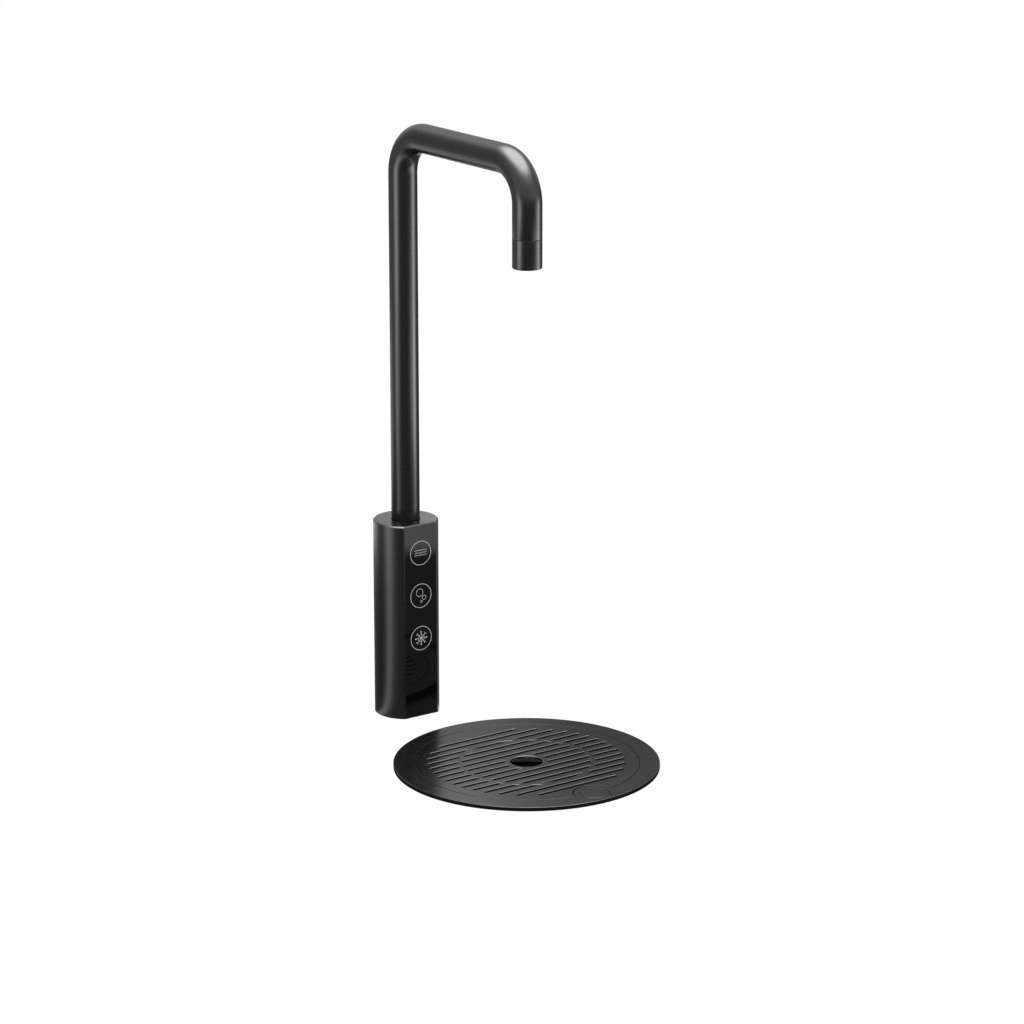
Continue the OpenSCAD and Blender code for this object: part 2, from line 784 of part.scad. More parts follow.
module nozzle_sleeve() {
  color(black_paint) translate([0, -reach, 0]) difference() {
    union() {
      translate([0, 0, outlet_h]) cylinder(r = tube_r, h = nozzle_l);
      translate([0, 0, outlet_h]) cylinder(r = spigot_r, h = nozzle_l + nozzle_spigot);
    }
    translate([0, 0, outlet_h - over]) cylinder(r = nozzle_bore_r, h = disc_top - outlet_h + over);
    translate([0, 0, outlet_h]) cylinder(r = foot_bore_r, h = nozzle_l + nozzle_spigot + over);
    ring(spigot_r + over, spigot_r - ring_depth, nozzle_ring_z - ring_depth / 2, ring_depth);
  }
}

module outlet_disc() {
  z = outlet_h + outlet_recess;
  color(black_glass) translate([0, -reach, 0]) difference() {
    translate([0, 0, z]) cylinder(r = nozzle_bore_r - push_gap, h = disc_top - z);
    for (at = line_at) translate([at[0], -at[1], 0]) {
      translate([0, 0, line_end]) cylinder(r = inlet_r, h = outlet_socket + over);
      translate([0, 0, z - over]) cylinder(d = outlet_hole_d, h = disc_top - z);
    }
  }
}

module nozzle_o_ring() {
  color(rubber) translate([0, -reach, 0]) o_ring(spigot_r, small_ring_d, nozzle_ring_z);
}

// ---- drip tray ----

module at_tray() {
  translate([0, -reach, 0]) children();
}

module around(n) {
  for (i = [0:n - 1]) rotate([0, 0, (i + 0.5) * 360 / n]) children();
}

module rim_section() {
  difference() {
    union() {
      translate([seam_r, 0]) square([rim_w - rim_round, rim_t]);
      translate([seam_r, 0]) square([rim_w, rim_t - rim_round]);
      translate([tray_d / 2 - rim_round, rim_t - rim_round]) circle(rim_round);
      translate([ledge_r, ledge_z]) square([step_r - ledge_r, tray_ledge_t]);
    }
    translate([tray_gasket_r - tray_gasket_w / 2, -over]) square([tray_gasket_w, gasket_t + over]);
  }
}

module lobe(r, z0, z1) {
  intersection() {
    translate([0, -seam_r, z0]) cylinder(r = r, h = z1 - z0);
    translate([0, 0, z0]) cylinder(r = step_r, h = z1 - z0);
  }
}

module bowl_screw_holes(r) {
  around(bowl_screw_n) translate([bowl_screw_at, 0, ledge_z - bowl_screw_l - over])
    cylinder(r = r, h = bowl_screw_hole);
}

module bowl_screw_heads(gap) {
  around(bowl_screw_n) translate([bowl_screw_at, 0, ledge_z])
    cylinder(r1 = bowl_screw_d / 2 + gap, r2 = csk_r + gap, h = tray_ledge_t);
}

module tray_rim() {
  color(black_paint) at_tray() difference() {
    union() {
      rotate_extrude() rim_section();
      lobe(lobe_r, ledge_z, rim_t);
      lobe(lobe_r + seam_gap + lobe_ledge, ledge_z, plate_z);
    }
    translate([0, -seam_r, rim_t - disc_t]) cylinder(r = disc_d / 2 + seam_gap, h = disc_t + over);
    bowl_screw_holes(bowl_screw_d / 2 + free_gap);
    bowl_screw_heads(free_gap);
  }
}

module rim_disc() {
  color(black_paint) at_tray() translate([0, -seam_r, rim_t - disc_t]) cylinder(d = disc_d, h = disc_t);
}

module tray_gasket() {
  color(rubber) at_tray()
    ring(tray_gasket_r + tray_gasket_w / 2, tray_gasket_r - tray_gasket_w / 2, 0, gasket_t);
}

module tray_bowl() {
  color(steel) at_tray() difference() {
    union() {
      rotate_extrude() polygon([
        [flange_in, ledge_z], [bowl_r, ledge_z], [bowl_r, corner_z],
        [bowl_r - bowl_slope, corner_z - bowl_slope],
        [floor_r, floor_z], [drain_hole_r, floor_z], [drain_hole_r, floor_top], [floor_r, floor_top],
        [bowl_r - bowl_slope - bowl_wall / 2, corner_z - bowl_slope + bowl_wall],
        [bowl_in, corner_z + bowl_wall / 2], [bowl_in, ledge_z - bowl_flange],
        [flange_in, ledge_z - bowl_flange]
      ]);
      for (a = clamp_angles) rotate([0, 0, a]) translate([stud_at, 0, 0]) difference() {
        translate([0, 0, -stud_pad_z]) cylinder(d = stud_pad_d, h = stud_pad_z + corner_z - bowl_slope);
        pad_cut();
      }
    }
    bowl_screw_holes(bowl_screw_d / 2 + push_gap);
  }
}

// What is taken off the top of a weld pad, so that it ends inside the sloping floor
module pad_cut() {
  run = bowl_r - bowl_slope - floor_r;
  fall = atan2(bowl_fall, run);
  z = floor_z + (stud_at - floor_r) * bowl_fall / run + bowl_wall / 2;
  translate([0, 0, z]) rotate([0, -fall, 0]) translate([-stud_pad_d, -stud_pad_d, 0])
    cube([2 * stud_pad_d, 2 * stud_pad_d, 2 * stud_pad_d]);
}

module bowl_screws() {
  color(steel) at_tray() {
    bowl_screw_heads(0);
    around(bowl_screw_n) translate([bowl_screw_at, 0, ledge_z - bowl_screw_l])
      cylinder(d = bowl_screw_d, h = bowl_screw_l);
  }
}

module drain_spigot() {
  color(steel) at_tray() rotate_extrude() polygon([
    [drain_bore / 2, drain_step_z - tail_l], [tail_d / 2, drain_step_z - tail_l],
    [tail_d / 2, drain_step_z], [drain_r, drain_step_z], [drain_r, floor_top],
    [drain_flange_d / 2, floor_top], [drain_flange_d / 2, floor_top + drain_flange_t],
    [drain_bore / 2, floor_top + drain_flange_t]
  ]);
}

module drain_seal() {
  color(rubber) at_tray() ring(drain_seal_r, drain_hole_r, drain_seal_z, drain_seal_t);
}

module drain_nut() {
  color(grey_plastic) at_tray() hex_nut(drain_nut_af, drain_r + push_gap, drain_nut_z, drain_nut_h);
}

module strainer() {
  z = floor_top + drain_flange_t;
  r = drain_bore / 2 - push_gap;
  skirt_wall = 1;
  hole_at = r - skirt_wall - 0.4 - strainer_hole_d / 2;
  color(steel) at_tray() {
    translate([0, 0, z]) linear_extrude(strainer_t) difference() {
      circle(drain_flange_d / 2 - skirt_wall);
      circle(d = strainer_hole_d);
      for (a = [0:60:300]) rotate(a) translate([hole_at, 0]) circle(d = strainer_hole_d);
    }
    ring(r, r - skirt_wall, z - strainer_skirt, strainer_skirt);
  }
}

module at_clamps() {
  at_tray() for (a = clamp_angles) rotate([0, 0, a]) translate([stud_at, 0, 0]) children();
}

module clamp_studs() {
  low = claw_z - claw_nut_h - stud_tail;
  color(steel) at_clamps() translate([0, 0, low]) cylinder(d = stud_d, h = -stud_pad_z - low);
}

module clamp_claws() {
  inner = stud_pad_d / 2 + 1;
  toe = worktop_low - claw_top;
  color(steel) at_clamps() difference() {
    union() {
      translate([-inner, -claw_w / 2, claw_z]) cube([claw_end - stud_at + inner, claw_w, claw_t]);
      translate([claw_end - claw_toe_l - stud_at, -claw_w / 2, claw_z])
        cube([claw_toe_l, claw_w, claw_t + toe]);
    }
    translate([0, 0, claw_z - over]) cylinder(r = stud_d / 2 + free_gap, h = claw_t + 2 * over);
  }
}

module clamp_nuts() {
  color(steel) at_clamps() hex_nut(claw_nut_af, stud_d / 2 + push_gap, claw_z - claw_nut_h, claw_nut_h);
}

// The open slots: rows of round-ended slots, broken by the ring and the solid middle
module grille_slots() {
  end_r = field_r - slot_w / 2;
  difference() {
    for (i = [-slot_rows:slot_rows]) {
      y = i * slot_pitch;
      half = sqrt(end_r * end_r - y * y);
      translate([-half, y - slot_w / 2]) square([2 * half, slot_w]);
      for (s = [-1, 1]) translate([s * half, y]) circle(d = slot_w, $fn = 32);
    }
    difference() {
      circle(d = land_d + land_w);
      circle(d = land_d - land_w);
    }
    circle(d = hub_d);
    translate([0, -seam_r]) circle(lobe_r + seam_gap + lobe_land);
  }
}

module grille_plate() {
  color(black_paint) at_tray() translate([0, 0, plate_z]) linear_extrude(plate_t) difference() {
    circle(seam_r - seam_gap, $fn = 180);
    translate([0, -seam_r]) circle(lobe_r + seam_gap);
    circle(d = finger_d);
    grille_slots();
  }
}

font_body();
touch_panel();
panel_adhesive();
touch_board();
sensor_pads();
key_lamps();
controller_chip();
board_connector();
signal_wire();
signal_socket();
body_grub_screws();
upper_bush();
font_stem();
limit_screw();
thrust_washer();
base_plate();
deck_gasket();
rubber_washer();
steel_washer();
back_nut();
still_line_lower();
sparkling_line_lower();
chilled_line_lower();
inlet_block();
inlet_block_seal();
inlet_collets();
spout_tube();
spout_foot();
foot_o_rings();
still_line_upper();
sparkling_line_upper();
chilled_line_upper();
nozzle_sleeve();
outlet_disc();
nozzle_o_ring();
tray_rim();
rim_disc();
tray_gasket();
tray_bowl();
bowl_screws();
drain_spigot();
drain_seal();
drain_nut();
strainer();
clamp_studs();
clamp_claws();
clamp_nuts();
grille_plate();
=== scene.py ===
import math

import bmesh
import bpy
from mathutils import Matrix, Vector
from mathutils.geometry import tessellate_polygon


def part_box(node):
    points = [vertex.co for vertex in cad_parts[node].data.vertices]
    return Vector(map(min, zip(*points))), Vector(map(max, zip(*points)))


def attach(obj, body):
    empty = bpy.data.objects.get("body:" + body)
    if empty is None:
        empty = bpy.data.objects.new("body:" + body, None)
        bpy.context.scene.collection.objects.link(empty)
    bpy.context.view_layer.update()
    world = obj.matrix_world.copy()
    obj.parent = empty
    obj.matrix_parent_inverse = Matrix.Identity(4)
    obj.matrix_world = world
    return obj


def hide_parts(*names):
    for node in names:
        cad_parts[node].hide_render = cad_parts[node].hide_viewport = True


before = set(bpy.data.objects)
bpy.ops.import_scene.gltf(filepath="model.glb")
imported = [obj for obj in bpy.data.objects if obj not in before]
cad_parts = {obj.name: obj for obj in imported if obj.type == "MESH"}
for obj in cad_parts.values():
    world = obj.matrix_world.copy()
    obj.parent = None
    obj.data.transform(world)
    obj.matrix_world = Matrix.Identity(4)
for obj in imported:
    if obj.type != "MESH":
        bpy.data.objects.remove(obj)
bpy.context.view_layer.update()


# ---- camera ------------------------------------------------------------------------------------------
# A long lens about 2.7 m away, to the front left of the tap and a little above it.

CAMERA_AT = Vector((-1.51055, -2.24836, 0.92154))
CAMERA_AIM = Vector((0.00887, -0.12879, 0.18852))
LENS_MM = 127.93
SENSOR_MM = 36

camera = bpy.data.objects.new("camera", bpy.data.cameras.new("camera"))
camera.data.sensor_fit = "HORIZONTAL"
camera.data.sensor_width = SENSOR_MM
camera.data.lens = LENS_MM
camera.location = CAMERA_AT
camera.rotation_euler = (CAMERA_AIM - CAMERA_AT).to_track_quat("-Z", "Y").to_euler()
bpy.context.scene.collection.objects.link(camera)
bpy.context.scene.camera = camera


# ---- font shell --------------------------------------------------------------------------------------
# The upright D-section shell, machined from the solid and coated satin black. Its top edge is chamfered,
# the flat holds the touch glass in a recess, and two grub screws low at the back fix it to the base.

SHELL_R = 0.02525
SHELL_H = 0.1555
SHELL_FLAT = 0.0201
SHELL_CORNER = 0.0005
SHELL_CHAMFER = 0.0009
FLAT_CHAMFER = 0.00072
SHELL_FOOT_ROUND = 0.0003
CAVITY_R = 0.02275
CAVITY_FLAT = 0.0163
CAVITY_H = 0.1455
BUSH_SEAT_R = 0.0136
BUSH_SEAT_TOP = 0.1525
TUBE_HOLE_R = 0.01115
HOLE_ROUND = 0.0003
ARC_POINTS = 180
CORNER_POINTS = 8
FLAT_POINTS = 24
ROUND_STEPS = 6
SHELL_BANDS = 12
SAME_POINT = 1e-7
SAME_WAY = 0.99999


def d_loop(inset, z):
    """The D outline at height z, drawn in by inset; its corner centres are the same at every inset."""
    middle_y = -(SHELL_FLAT - SHELL_CORNER)
    middle_x = math.sqrt((SHELL_R - SHELL_CORNER) ** 2 - middle_y ** 2)
    low = math.atan2(middle_y, middle_x)
    points = []
    for i in range(ARC_POINTS):
        angle = low + (math.pi - 2 * low) * i / (ARC_POINTS - 1)
        points.append(((SHELL_R - inset) * math.cos(angle), (SHELL_R - inset) * math.sin(angle)))
    for i in range(1, CORNER_POINTS):
        angle = math.pi - low + (math.pi / 2 + low) * i / CORNER_POINTS
        points.append((-middle_x + (SHELL_CORNER - inset) * math.cos(angle),
                       middle_y + (SHELL_CORNER - inset) * math.sin(angle)))
    for i in range(FLAT_POINTS + 1):
        points.append((middle_x * (2 * i / FLAT_POINTS - 1), -(SHELL_FLAT - inset)))
    for i in range(1, CORNER_POINTS):
        angle = -math.pi / 2 + (math.pi / 2 + low) * i / CORNER_POINTS
        points.append((middle_x + (SHELL_CORNER - inset) * math.cos(angle),
                       middle_y + (SHELL_CORNER - inset) * math.sin(angle)))
    return [(x, y, z) for x, y in points]


def same_bearings(loop, radius, z, flat=None):
    """A loop whose points lie in the same directions as those of another, on a circle or a cut circle."""
    points = []
    for x, y, _ in loop:
        length = math.hypot(x, y)
        out = radius
        if flat and y < 0:
            out = min(radius, flat * length / -y)
        points.append((x / length * out, y / length * out, z))
    return points


def foot_round():
    """Insets and heights of the quarter round at the shell's foot, from its bottom up."""
    steps = [math.pi / 2 * i / ROUND_STEPS for i in range(ROUND_STEPS, -1, -1)]
    return [(SHELL_FOOT_ROUND * (1 - math.cos(a)), SHELL_FOOT_ROUND - SHELL_FOOT_ROUND * math.sin(a))
            for a in steps]


def placed(name, points, edges=(), faces=()):
    """A mesh object in the scene, from its points and its edges or faces."""
    mesh = bpy.data.meshes.new(name)
    mesh.from_pydata(points, edges, faces)
    piece = bpy.data.objects.new(name, mesh)
    bpy.context.scene.collection.objects.link(piece)
    return piece


def closed_loft(name, loops):
    """A mesh object through loops of equal length, of which the last joins the first, as in a shell."""
    count = len(loops[0])
    faces = []
    for k in range(len(loops)):
        a = k * count
        b = (k + 1) % len(loops) * count
        for i in range(count):
            j = (i + 1) % count
            faces.append((a + i, a + j, b + j, b + i))
    return placed(name, [point for loop in loops for point in loop], faces=faces)


def face_outwards(piece, smooth_degrees=35):
    """Turns every face outwards and shades the piece smooth, with its real edges kept sharp."""
    shape = bmesh.new()
    shape.from_mesh(piece.data)
    bmesh.ops.remove_doubles(shape, verts=shape.verts, dist=SAME_POINT)
    bmesh.ops.recalc_face_normals(shape, faces=shape.faces)
    shape.to_mesh(piece.data)
    shape.free()
    piece.data.polygons.foreach_set("use_smooth", [True] * len(piece.data.polygons))
    piece.data.set_sharp_from_angle(angle=math.radians(smooth_degrees))
    piece.data.update()
    return piece


def keep_flats(piece, *ways):
    """Keeps the faces that look one of these ways flat in shading, where they meet a rounded edge."""
    shape = bmesh.new()
    shape.from_mesh(piece.data)
    for edge in shape.edges:
        flat = [any(face.normal.dot(Vector(way)) > SAME_WAY for way in ways) for face in edge.link_faces]
        if any(flat) and not all(flat):
            edge.smooth = False
    shape.to_mesh(piece.data)
    shape.free()
    return piece


def applied(piece):
    """Keeps what the piece's modifiers make as its plain mesh."""
    bpy.context.view_layer.update()
    result = bpy.data.meshes.new_from_object(piece.evaluated_get(bpy.context.evaluated_depsgraph_get()))
    piece.modifiers.clear()
    old = piece.data
    piece.data = result
    bpy.data.meshes.remove(old)
    return piece


def combined(piece, tool, operation):
    """Cuts the tool's shape out of the piece or fuses it on, and removes the tool."""
    boolean = piece.modifiers.new("combine", "BOOLEAN")
    boolean.operation = operation
    boolean.solver = "EXACT"
    boolean.object = tool
    applied(piece)
    bpy.data.objects.remove(tool)
    return piece


def cut(piece, tool):
    return combined(piece, tool, "DIFFERENCE")


def block(name, low, high):
    """A plain block between two corners."""
    piece = placed(name, [])
    shape = bmesh.new()
    bmesh.ops.create_cube(shape, size=1)
    size = Vector(high) - Vector(low)
    for corner in shape.verts:
        corner.co = Vector(low) + Vector([(corner.co[i] + 0.5) * size[i] for i in range(3)])
    shape.to_mesh(piece.data)
    shape.free()
    return piece


def rod(name, start, end, radius, sides=48):
    """A plain cylinder between two points, used as a cutting tool."""
    piece = placed(name, [])
    axis = Vector(end) - Vector(start)
    turn = axis.to_track_quat("Z", "Y").to_matrix().to_4x4()
    place = Matrix.Translation((Vector(start) + Vector(end)) / 2) @ turn
    shape = bmesh.new()
    bmesh.ops.create_cone(shape, cap_ends=True, segments=sides, radius1=radius, radius2=radius,
                          depth=axis.length, matrix=place)
    shape.to_mesh(piece.data)
    shape.free()
    return piece


# The span of values that the noise mostly keeps to
NOISE_SPAN = (0.3, 0.7)


def new_node(tree, kind, **values):
    """Adds a node to a tree and sets its inputs or properties by name."""
    node = tree.nodes.new(kind)
    for name, value in values.items():
        socket = node.inputs.get(name.replace("_", " "))
        if socket is None:
            setattr(node, name, value)
        else:
            socket.default_value = value
    return node


def object_coordinates(tree):
    return new_node(tree, "ShaderNodeTexCoord").outputs["Object"]


def plain_shader(name, colour, roughness, metallic=0.0, specular=0.5):
    """A material whose even values sit on the shader's own sockets, with its node tree and its shader."""
    material = bpy.data.materials.new(name)
    material.use_nodes = True
    shader = material.node_tree.nodes["Principled BSDF"]
    shader.inputs["Base Color"].default_value = (*colour, 1)
    shader.inputs["Roughness"].default_value = roughness
    shader.inputs["Metallic"].default_value = metallic
    shader.inputs["Specular IOR Level"].default_value = specular
    return material, material.node_tree, shader


def ranged(tree, value, low, high, to_low=0.0, to_high=1.0):
    """Spreads the values from low to high over another range."""
    node = new_node(tree, "ShaderNodeMapRange")
    for name, bound in (("From Min", low), ("From Max", high), ("To Min", to_low), ("To Max", to_high)):
        node.inputs[name].default_value = bound
    tree.links.new(value, node.inputs["Value"])
    return node.outputs["Result"]


def mixed_tone(tree, share, dark, pale):
    """A colour between two tones."""
    node = new_node(tree, "ShaderNodeMix", data_type="RGBA")
    node.inputs["A"].default_value = (*dark, 1)
    node.inputs["B"].default_value = (*pale, 1)
    tree.links.new(share, node.inputs["Factor"])
    return node.outputs["Result"]


def fine_lines(tree, shader, coordinates, stretch, gloss_range, bump_mm, tones, detail=6.0):
    """Brush marks: noise drawn out along one direction varies tone and gloss and scores the surface."""
    link = tree.links.new
    mapping = new_node(tree, "ShaderNodeMapping", Scale=stretch)
    noise = new_node(tree, "ShaderNodeTexNoise", Scale=1.0, Detail=detail, Roughness=0.65)
    bump = new_node(tree, "ShaderNodeBump", Strength=1.0, Distance=bump_mm / 1000)
    marks = noise.outputs["Fac"]
    link(coordinates, mapping.inputs["Vector"])
    link(mapping.outputs["Vector"], noise.inputs["Vector"])
    link(ranged(tree, marks, *NOISE_SPAN, *gloss_range), shader.inputs["Roughness"])
    link(marks, bump.inputs["Height"])
    link(bump.outputs["Normal"], shader.inputs["Normal"])
    link(mixed_tone(tree, ranged(tree, marks, *NOISE_SPAN), *tones), shader.inputs["Base Color"])


def dress(material, *names):
    """Gives this material to CAD nodes, also to those that a piece here stands in for."""
    for name in names:
        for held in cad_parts[name].material_slots:
            held.material = material


BLACK_METAL = (0.088, 0.088, 0.09)
BLACK_TONES = ((0.085, 0.085, 0.087), (0.091, 0.091, 0.093))
POLISH_STRETCH = (40, 40, 2600)
POLISH_GLOSS = (0.255, 0.275)
POLISH_MM = 0.00001
POLISH_DETAIL = 1.0
FORWARD = (0, -1, 0)
UP = (0, 0, 1)


def turned_black(name, edge_tint=(1, 1, 1, 1), unbent=""):
    """Hard black coat on steel that was polished round its axis: faint lines run round the piece. On the bent
    tube they follow the place that each point had before bending, which an attribute holds."""
    material, tree, shader = plain_shader(name, BLACK_METAL, 0.26, metallic=1.0)
    shader.inputs["Specular Tint"].default_value = edge_tint
    if unbent:
        place = new_node(tree, "ShaderNodeAttribute", attribute_name=unbent).outputs["Vector"]
    else:
        place = object_coordinates(tree)
    fine_lines(tree, shader, place, POLISH_STRETCH, POLISH_GLOSS, POLISH_MM, BLACK_TONES, POLISH_DETAIL)
    return material


side = d_loop(0, 0)
shell_loops = []
for inset, z in foot_round():
    shell_loops.append(d_loop(inset, z))
plain_height = SHELL_H - SHELL_CHAMFER - SHELL_FOOT_ROUND
for k in range(1, SHELL_BANDS):
    shell_loops.append(d_loop(0, SHELL_FOOT_ROUND + plain_height * k / SHELL_BANDS))
shell_loops.append(d_loop(0, SHELL_H - SHELL_CHAMFER))
shell_loops.append(same_bearings(side, SHELL_R - SHELL_CHAMFER, SHELL_H, SHELL_FLAT - FLAT_CHAMFER))
shell_loops.append(same_bearings(side, TUBE_HOLE_R + HOLE_ROUND, SHELL_H))
shell_loops.append(same_bearings(side, TUBE_HOLE_R, SHELL_H - HOLE_ROUND))
shell_loops.append(same_bearings(side, TUBE_HOLE_R, BUSH_SEAT_TOP))
shell_loops.append(same_bearings(side, BUSH_SEAT_R, BUSH_SEAT_TOP))
shell_loops.append(same_bearings(side, BUSH_SEAT_R, CAVITY_H))
shell_loops.append(same_bearings(side, CAVITY_R, CAVITY_H, CAVITY_FLAT))
shell_loops.append(same_bearings(side, CAVITY_R, 0, CAVITY_FLAT))
font_shell = face_outwards(closed_loft("font_shell", shell_loops))

GLASS_LOW, GLASS_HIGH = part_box("touch_panel")
GLASS_HALF = 0.0147
GLASS_GAP = 0.0001
RECESS_FLOOR = -0.0178
WINDOW_HALF = 0.0105
WINDOW_Z = (0.012, 0.143)
GRUB_HOLE_R = 0.00204
GRUB_Z = 0.004
GRUB_TURN = math.radians(40)
CUT_OVER = 0.002

recess = block("recess", (-GLASS_HALF - GLASS_GAP, -SHELL_FLAT - CUT_OVER, GLASS_LOW.z - GLASS_GAP),
               (GLASS_HALF + GLASS_GAP, RECESS_FLOOR, GLASS_HIGH.z + GLASS_GAP))
cut(font_shell, recess)
cut(font_shell, block("window", (-WINDOW_HALF, -SHELL_FLAT, WINDOW_Z[0]),
                      (WINDOW_HALF, -CAVITY_FLAT + CUT_OVER, WINDOW_Z[1])))
for hand in (-1, 1):
    out = Vector((math.sin(hand * GRUB_TURN), math.cos(hand * GRUB_TURN), 0))
    at_height = Vector((0, 0, GRUB_Z))
    cut(font_shell, rod("grub_hole", out * (CAVITY_R - CUT_OVER) + at_height,
                        out * (SHELL_R + CUT_OVER) + at_height, GRUB_HOLE_R))
keep_flats(face_outwards(font_shell), FORWARD, UP)
font_shell.data.materials.append(turned_black("turned_black_shell"))
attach(font_shell, "root")
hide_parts("font_body")
dress(font_shell.data.materials[0], "font_body")


# ---- touch glass -------------------------------------------------------------------------------------
# A strip of tempered glass, printed black on its back, stuck into the recess so that it lies flush.
# Its edges are ground to a fine bevel, which shows as a hairline round the strip.

GLASS_BEVEL = 0.00015
GLASS_BEVEL_STEPS = 3


def black_glass():
    material, tree, shader = plain_shader("black_glass", (0.0018, 0.0018, 0.002), 0.03)
    noise = new_node(tree, "ShaderNodeTexNoise", Scale=35.0, Detail=2.0)
    tree.links.new(object_coordinates(tree), noise.inputs["Vector"])
    tree.links.new(ranged(tree, noise.outputs["Fac"], 0, 1, 0.02, 0.05), shader.inputs["Roughness"])
    return material


def bevelled(piece, width, steps, degrees=30):
    """Rounds the piece's real edges in its mesh."""
    bevel = piece.modifiers.new("round", "BEVEL")
    bevel.width = width
    bevel.segments = steps
    bevel.limit_method = "ANGLE"
    bevel.angle_limit = math.radians(degrees)
    bevel.harden_normals = False
    return applied(piece)


touch_glass = block("touch_glass", (-GLASS_HALF, GLASS_LOW.y, GLASS_LOW.z),
                    (GLASS_HALF, GLASS_HIGH.y, GLASS_HIGH.z))
bevelled(touch_glass, GLASS_BEVEL, GLASS_BEVEL_STEPS)
keep_flats(face_outwards(touch_glass), FORWARD)
touch_glass.data.materials.append(black_glass())
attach(touch_glass, "root")
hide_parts("touch_panel")
dress(touch_glass.data.materials[0], "touch_panel")


# ---- key marks ---------------------------------------------------------------------------------------
# Three ring-shaped key marks printed on the glass in pale grey ink: waves for still water, bubbles for
# sparkling and an eight-armed snowflake for chilled. The ink stands a few hundredths of a mm proud.

KEY_X = 0.00015
KEY_Z = (0.1323, 0.0979, 0.0635)
KEY_RING_R = 0.00947
RING_INK = 0.00044
SIGN_INK = 0.00034
INK_PROUD = 0.00004
RING_POINTS = 96


def ink_circle(x, z, radius, points=RING_POINTS):
    turns = [2 * math.pi * i / points for i in range(points)]
    return [(x + radius * math.cos(a), z + radius * math.sin(a)) for a in turns], True


def ink_line(*points):
    return list(points), False


def wave(z, half=0.0056, rise=0.00015, swing=2.4 * math.pi, points=40):
    """One wavy line of the still-water mark; its phase runs from -swing to swing."""
    steps = [2 * i / (points - 1) - 1 for i in range(points)]
    return [(KEY_X + half * s, z + rise * math.sin(swing * s)) for s in steps], False


def ink_strokes(strokes, name):
    """The strokes as a wire in the plane of the glass."""
    points = []
    edges = []
    for stroke, closed in strokes:
        first = len(points)
        points += [(x, GLASS_LOW.y, z) for x, z in stroke]
        edges += [(first + i, first + i + 1) for i in range(len(stroke) - 1)]
        if closed:
            edges.append((len(points) - 1, first))
    return placed(name, points, edges)


def sums(tree, operation, first, second=None, third=None):
    """A math node whose inputs are links or plain numbers."""
    node = new_node(tree, "ShaderNodeMath", operation=operation)
    for socket, value in zip(node.inputs, (first, second, third)):
        if isinstance(value, (int, float)):
            socket.default_value = value
        elif value is not None:
            tree.links.new(value, socket)
    return node.outputs[0]


def sized_tree(name, lengths, counts=()):
    """A geometry tree with a named input for each length and count, the sockets' keys and its input node."""
    tree = bpy.data.node_groups.new(name, "GeometryNodeTree")
    tree.interface.new_socket("Geometry", in_out="INPUT", socket_type="NodeSocketGeometry")
    sizes = {}
    for names, kind in ((lengths, "NodeSocketFloat"), (counts, "NodeSocketInt")):
        for size in names:
            sizes[size] = tree.interface.new_socket(size, in_out="INPUT", socket_type=kind)
    tree.interface.new_socket("Geometry", in_out="OUTPUT", socket_type="NodeSocketGeometry")
    return tree, sizes, new_node(tree, "NodeGroupInput")


def end_tree(tree, result, material):
    """Makes the tree's result real, gives it its material and hands it out."""
    realize = new_node(tree, "GeometryNodeRealizeInstances")
    finish = new_node(tree, "GeometryNodeSetMaterial", Material=material)
    end = new_node(tree, "NodeGroupOutput")
    tree.links.new(result, realize.inputs["Geometry"])
    tree.links.new(realize.outputs["Geometry"], finish.inputs["Geometry"])
    tree.links.new(finish.outputs["Geometry"], end.inputs["Geometry"])


def printed_line_tree(material):
    """Geometry nodes that lay a flat bead of ink along a wire on the glass."""
    tree, sizes, start = sized_tree("printed_line", ("Line Width", "Proud", "Glass Y"))
    link = tree.links.new
    half = sums(tree, "MULTIPLY", start.outputs["Line Width"], 0.5)
    to_curve = new_node(tree, "GeometryNodeMeshToCurve")
    profile = new_node(tree, "GeometryNodeCurvePrimitiveCircle", Resolution=8)
    sweep = new_node(tree, "GeometryNodeCurveToMesh", Fill_Caps=True)
    split = new_node(tree, "ShaderNodeSeparateXYZ")
    join = new_node(tree, "ShaderNodeCombineXYZ")
    move = new_node(tree, "GeometryNodeSetPosition")
    link(start.outputs["Geometry"], to_curve.inputs["Mesh"])
    link(half, profile.inputs["Radius"])
    link(to_curve.outputs["Curve"], sweep.inputs["Curve"])
    link(profile.outputs["Curve"], sweep.inputs["Profile Curve"])
    link(new_node(tree, "GeometryNodeInputPosition").outputs[0], split.inputs[0])
    x, y, z = split.outputs
    glass_y = start.outputs["Glass Y"]
    flatter = sums(tree, "DIVIDE", start.outputs["Proud"], half)
    off_glass = sums(tree, "MULTIPLY", sums(tree, "SUBTRACT", y, glass_y), flatter)
    for value, socket in zip((x, sums(tree, "ADD", off_glass, glass_y), z), join.inputs):
        link(value, socket)
    link(sweep.outputs["Mesh"], move.inputs["Geometry"])
    link(join.outputs[0], move.inputs["Position"])
    end_tree(tree, move.outputs["Geometry"], material)
    return tree, sizes


def built(piece, tree, sizes, values):
    """Runs a geometry tree on the piece, with its sizes by name, and keeps the result as a plain mesh."""
    modifier = piece.modifiers.new("build", "NODES")
    modifier.node_group = tree
    for name, value in values.items():
        modifier[sizes[name].identifier] = value
    return applied(piece)


def pale_ink():
    material, tree, shader = plain_shader("pale_ink", (0.52, 0.52, 0.51), 0.5)
    noise = new_node(tree, "ShaderNodeTexNoise", Scale=9000.0, Detail=2.0)
    tree.links.new(object_coordinates(tree), noise.inputs["Vector"])
    tone = mixed_tone(tree, noise.outputs["Fac"], (0.46, 0.46, 0.455), (0.58, 0.58, 0.575))
    tree.links.new(tone, shader.inputs["Base Color"])
    return material


WAVE_PITCH = 0.00195
WAVES_UP = 0.0003
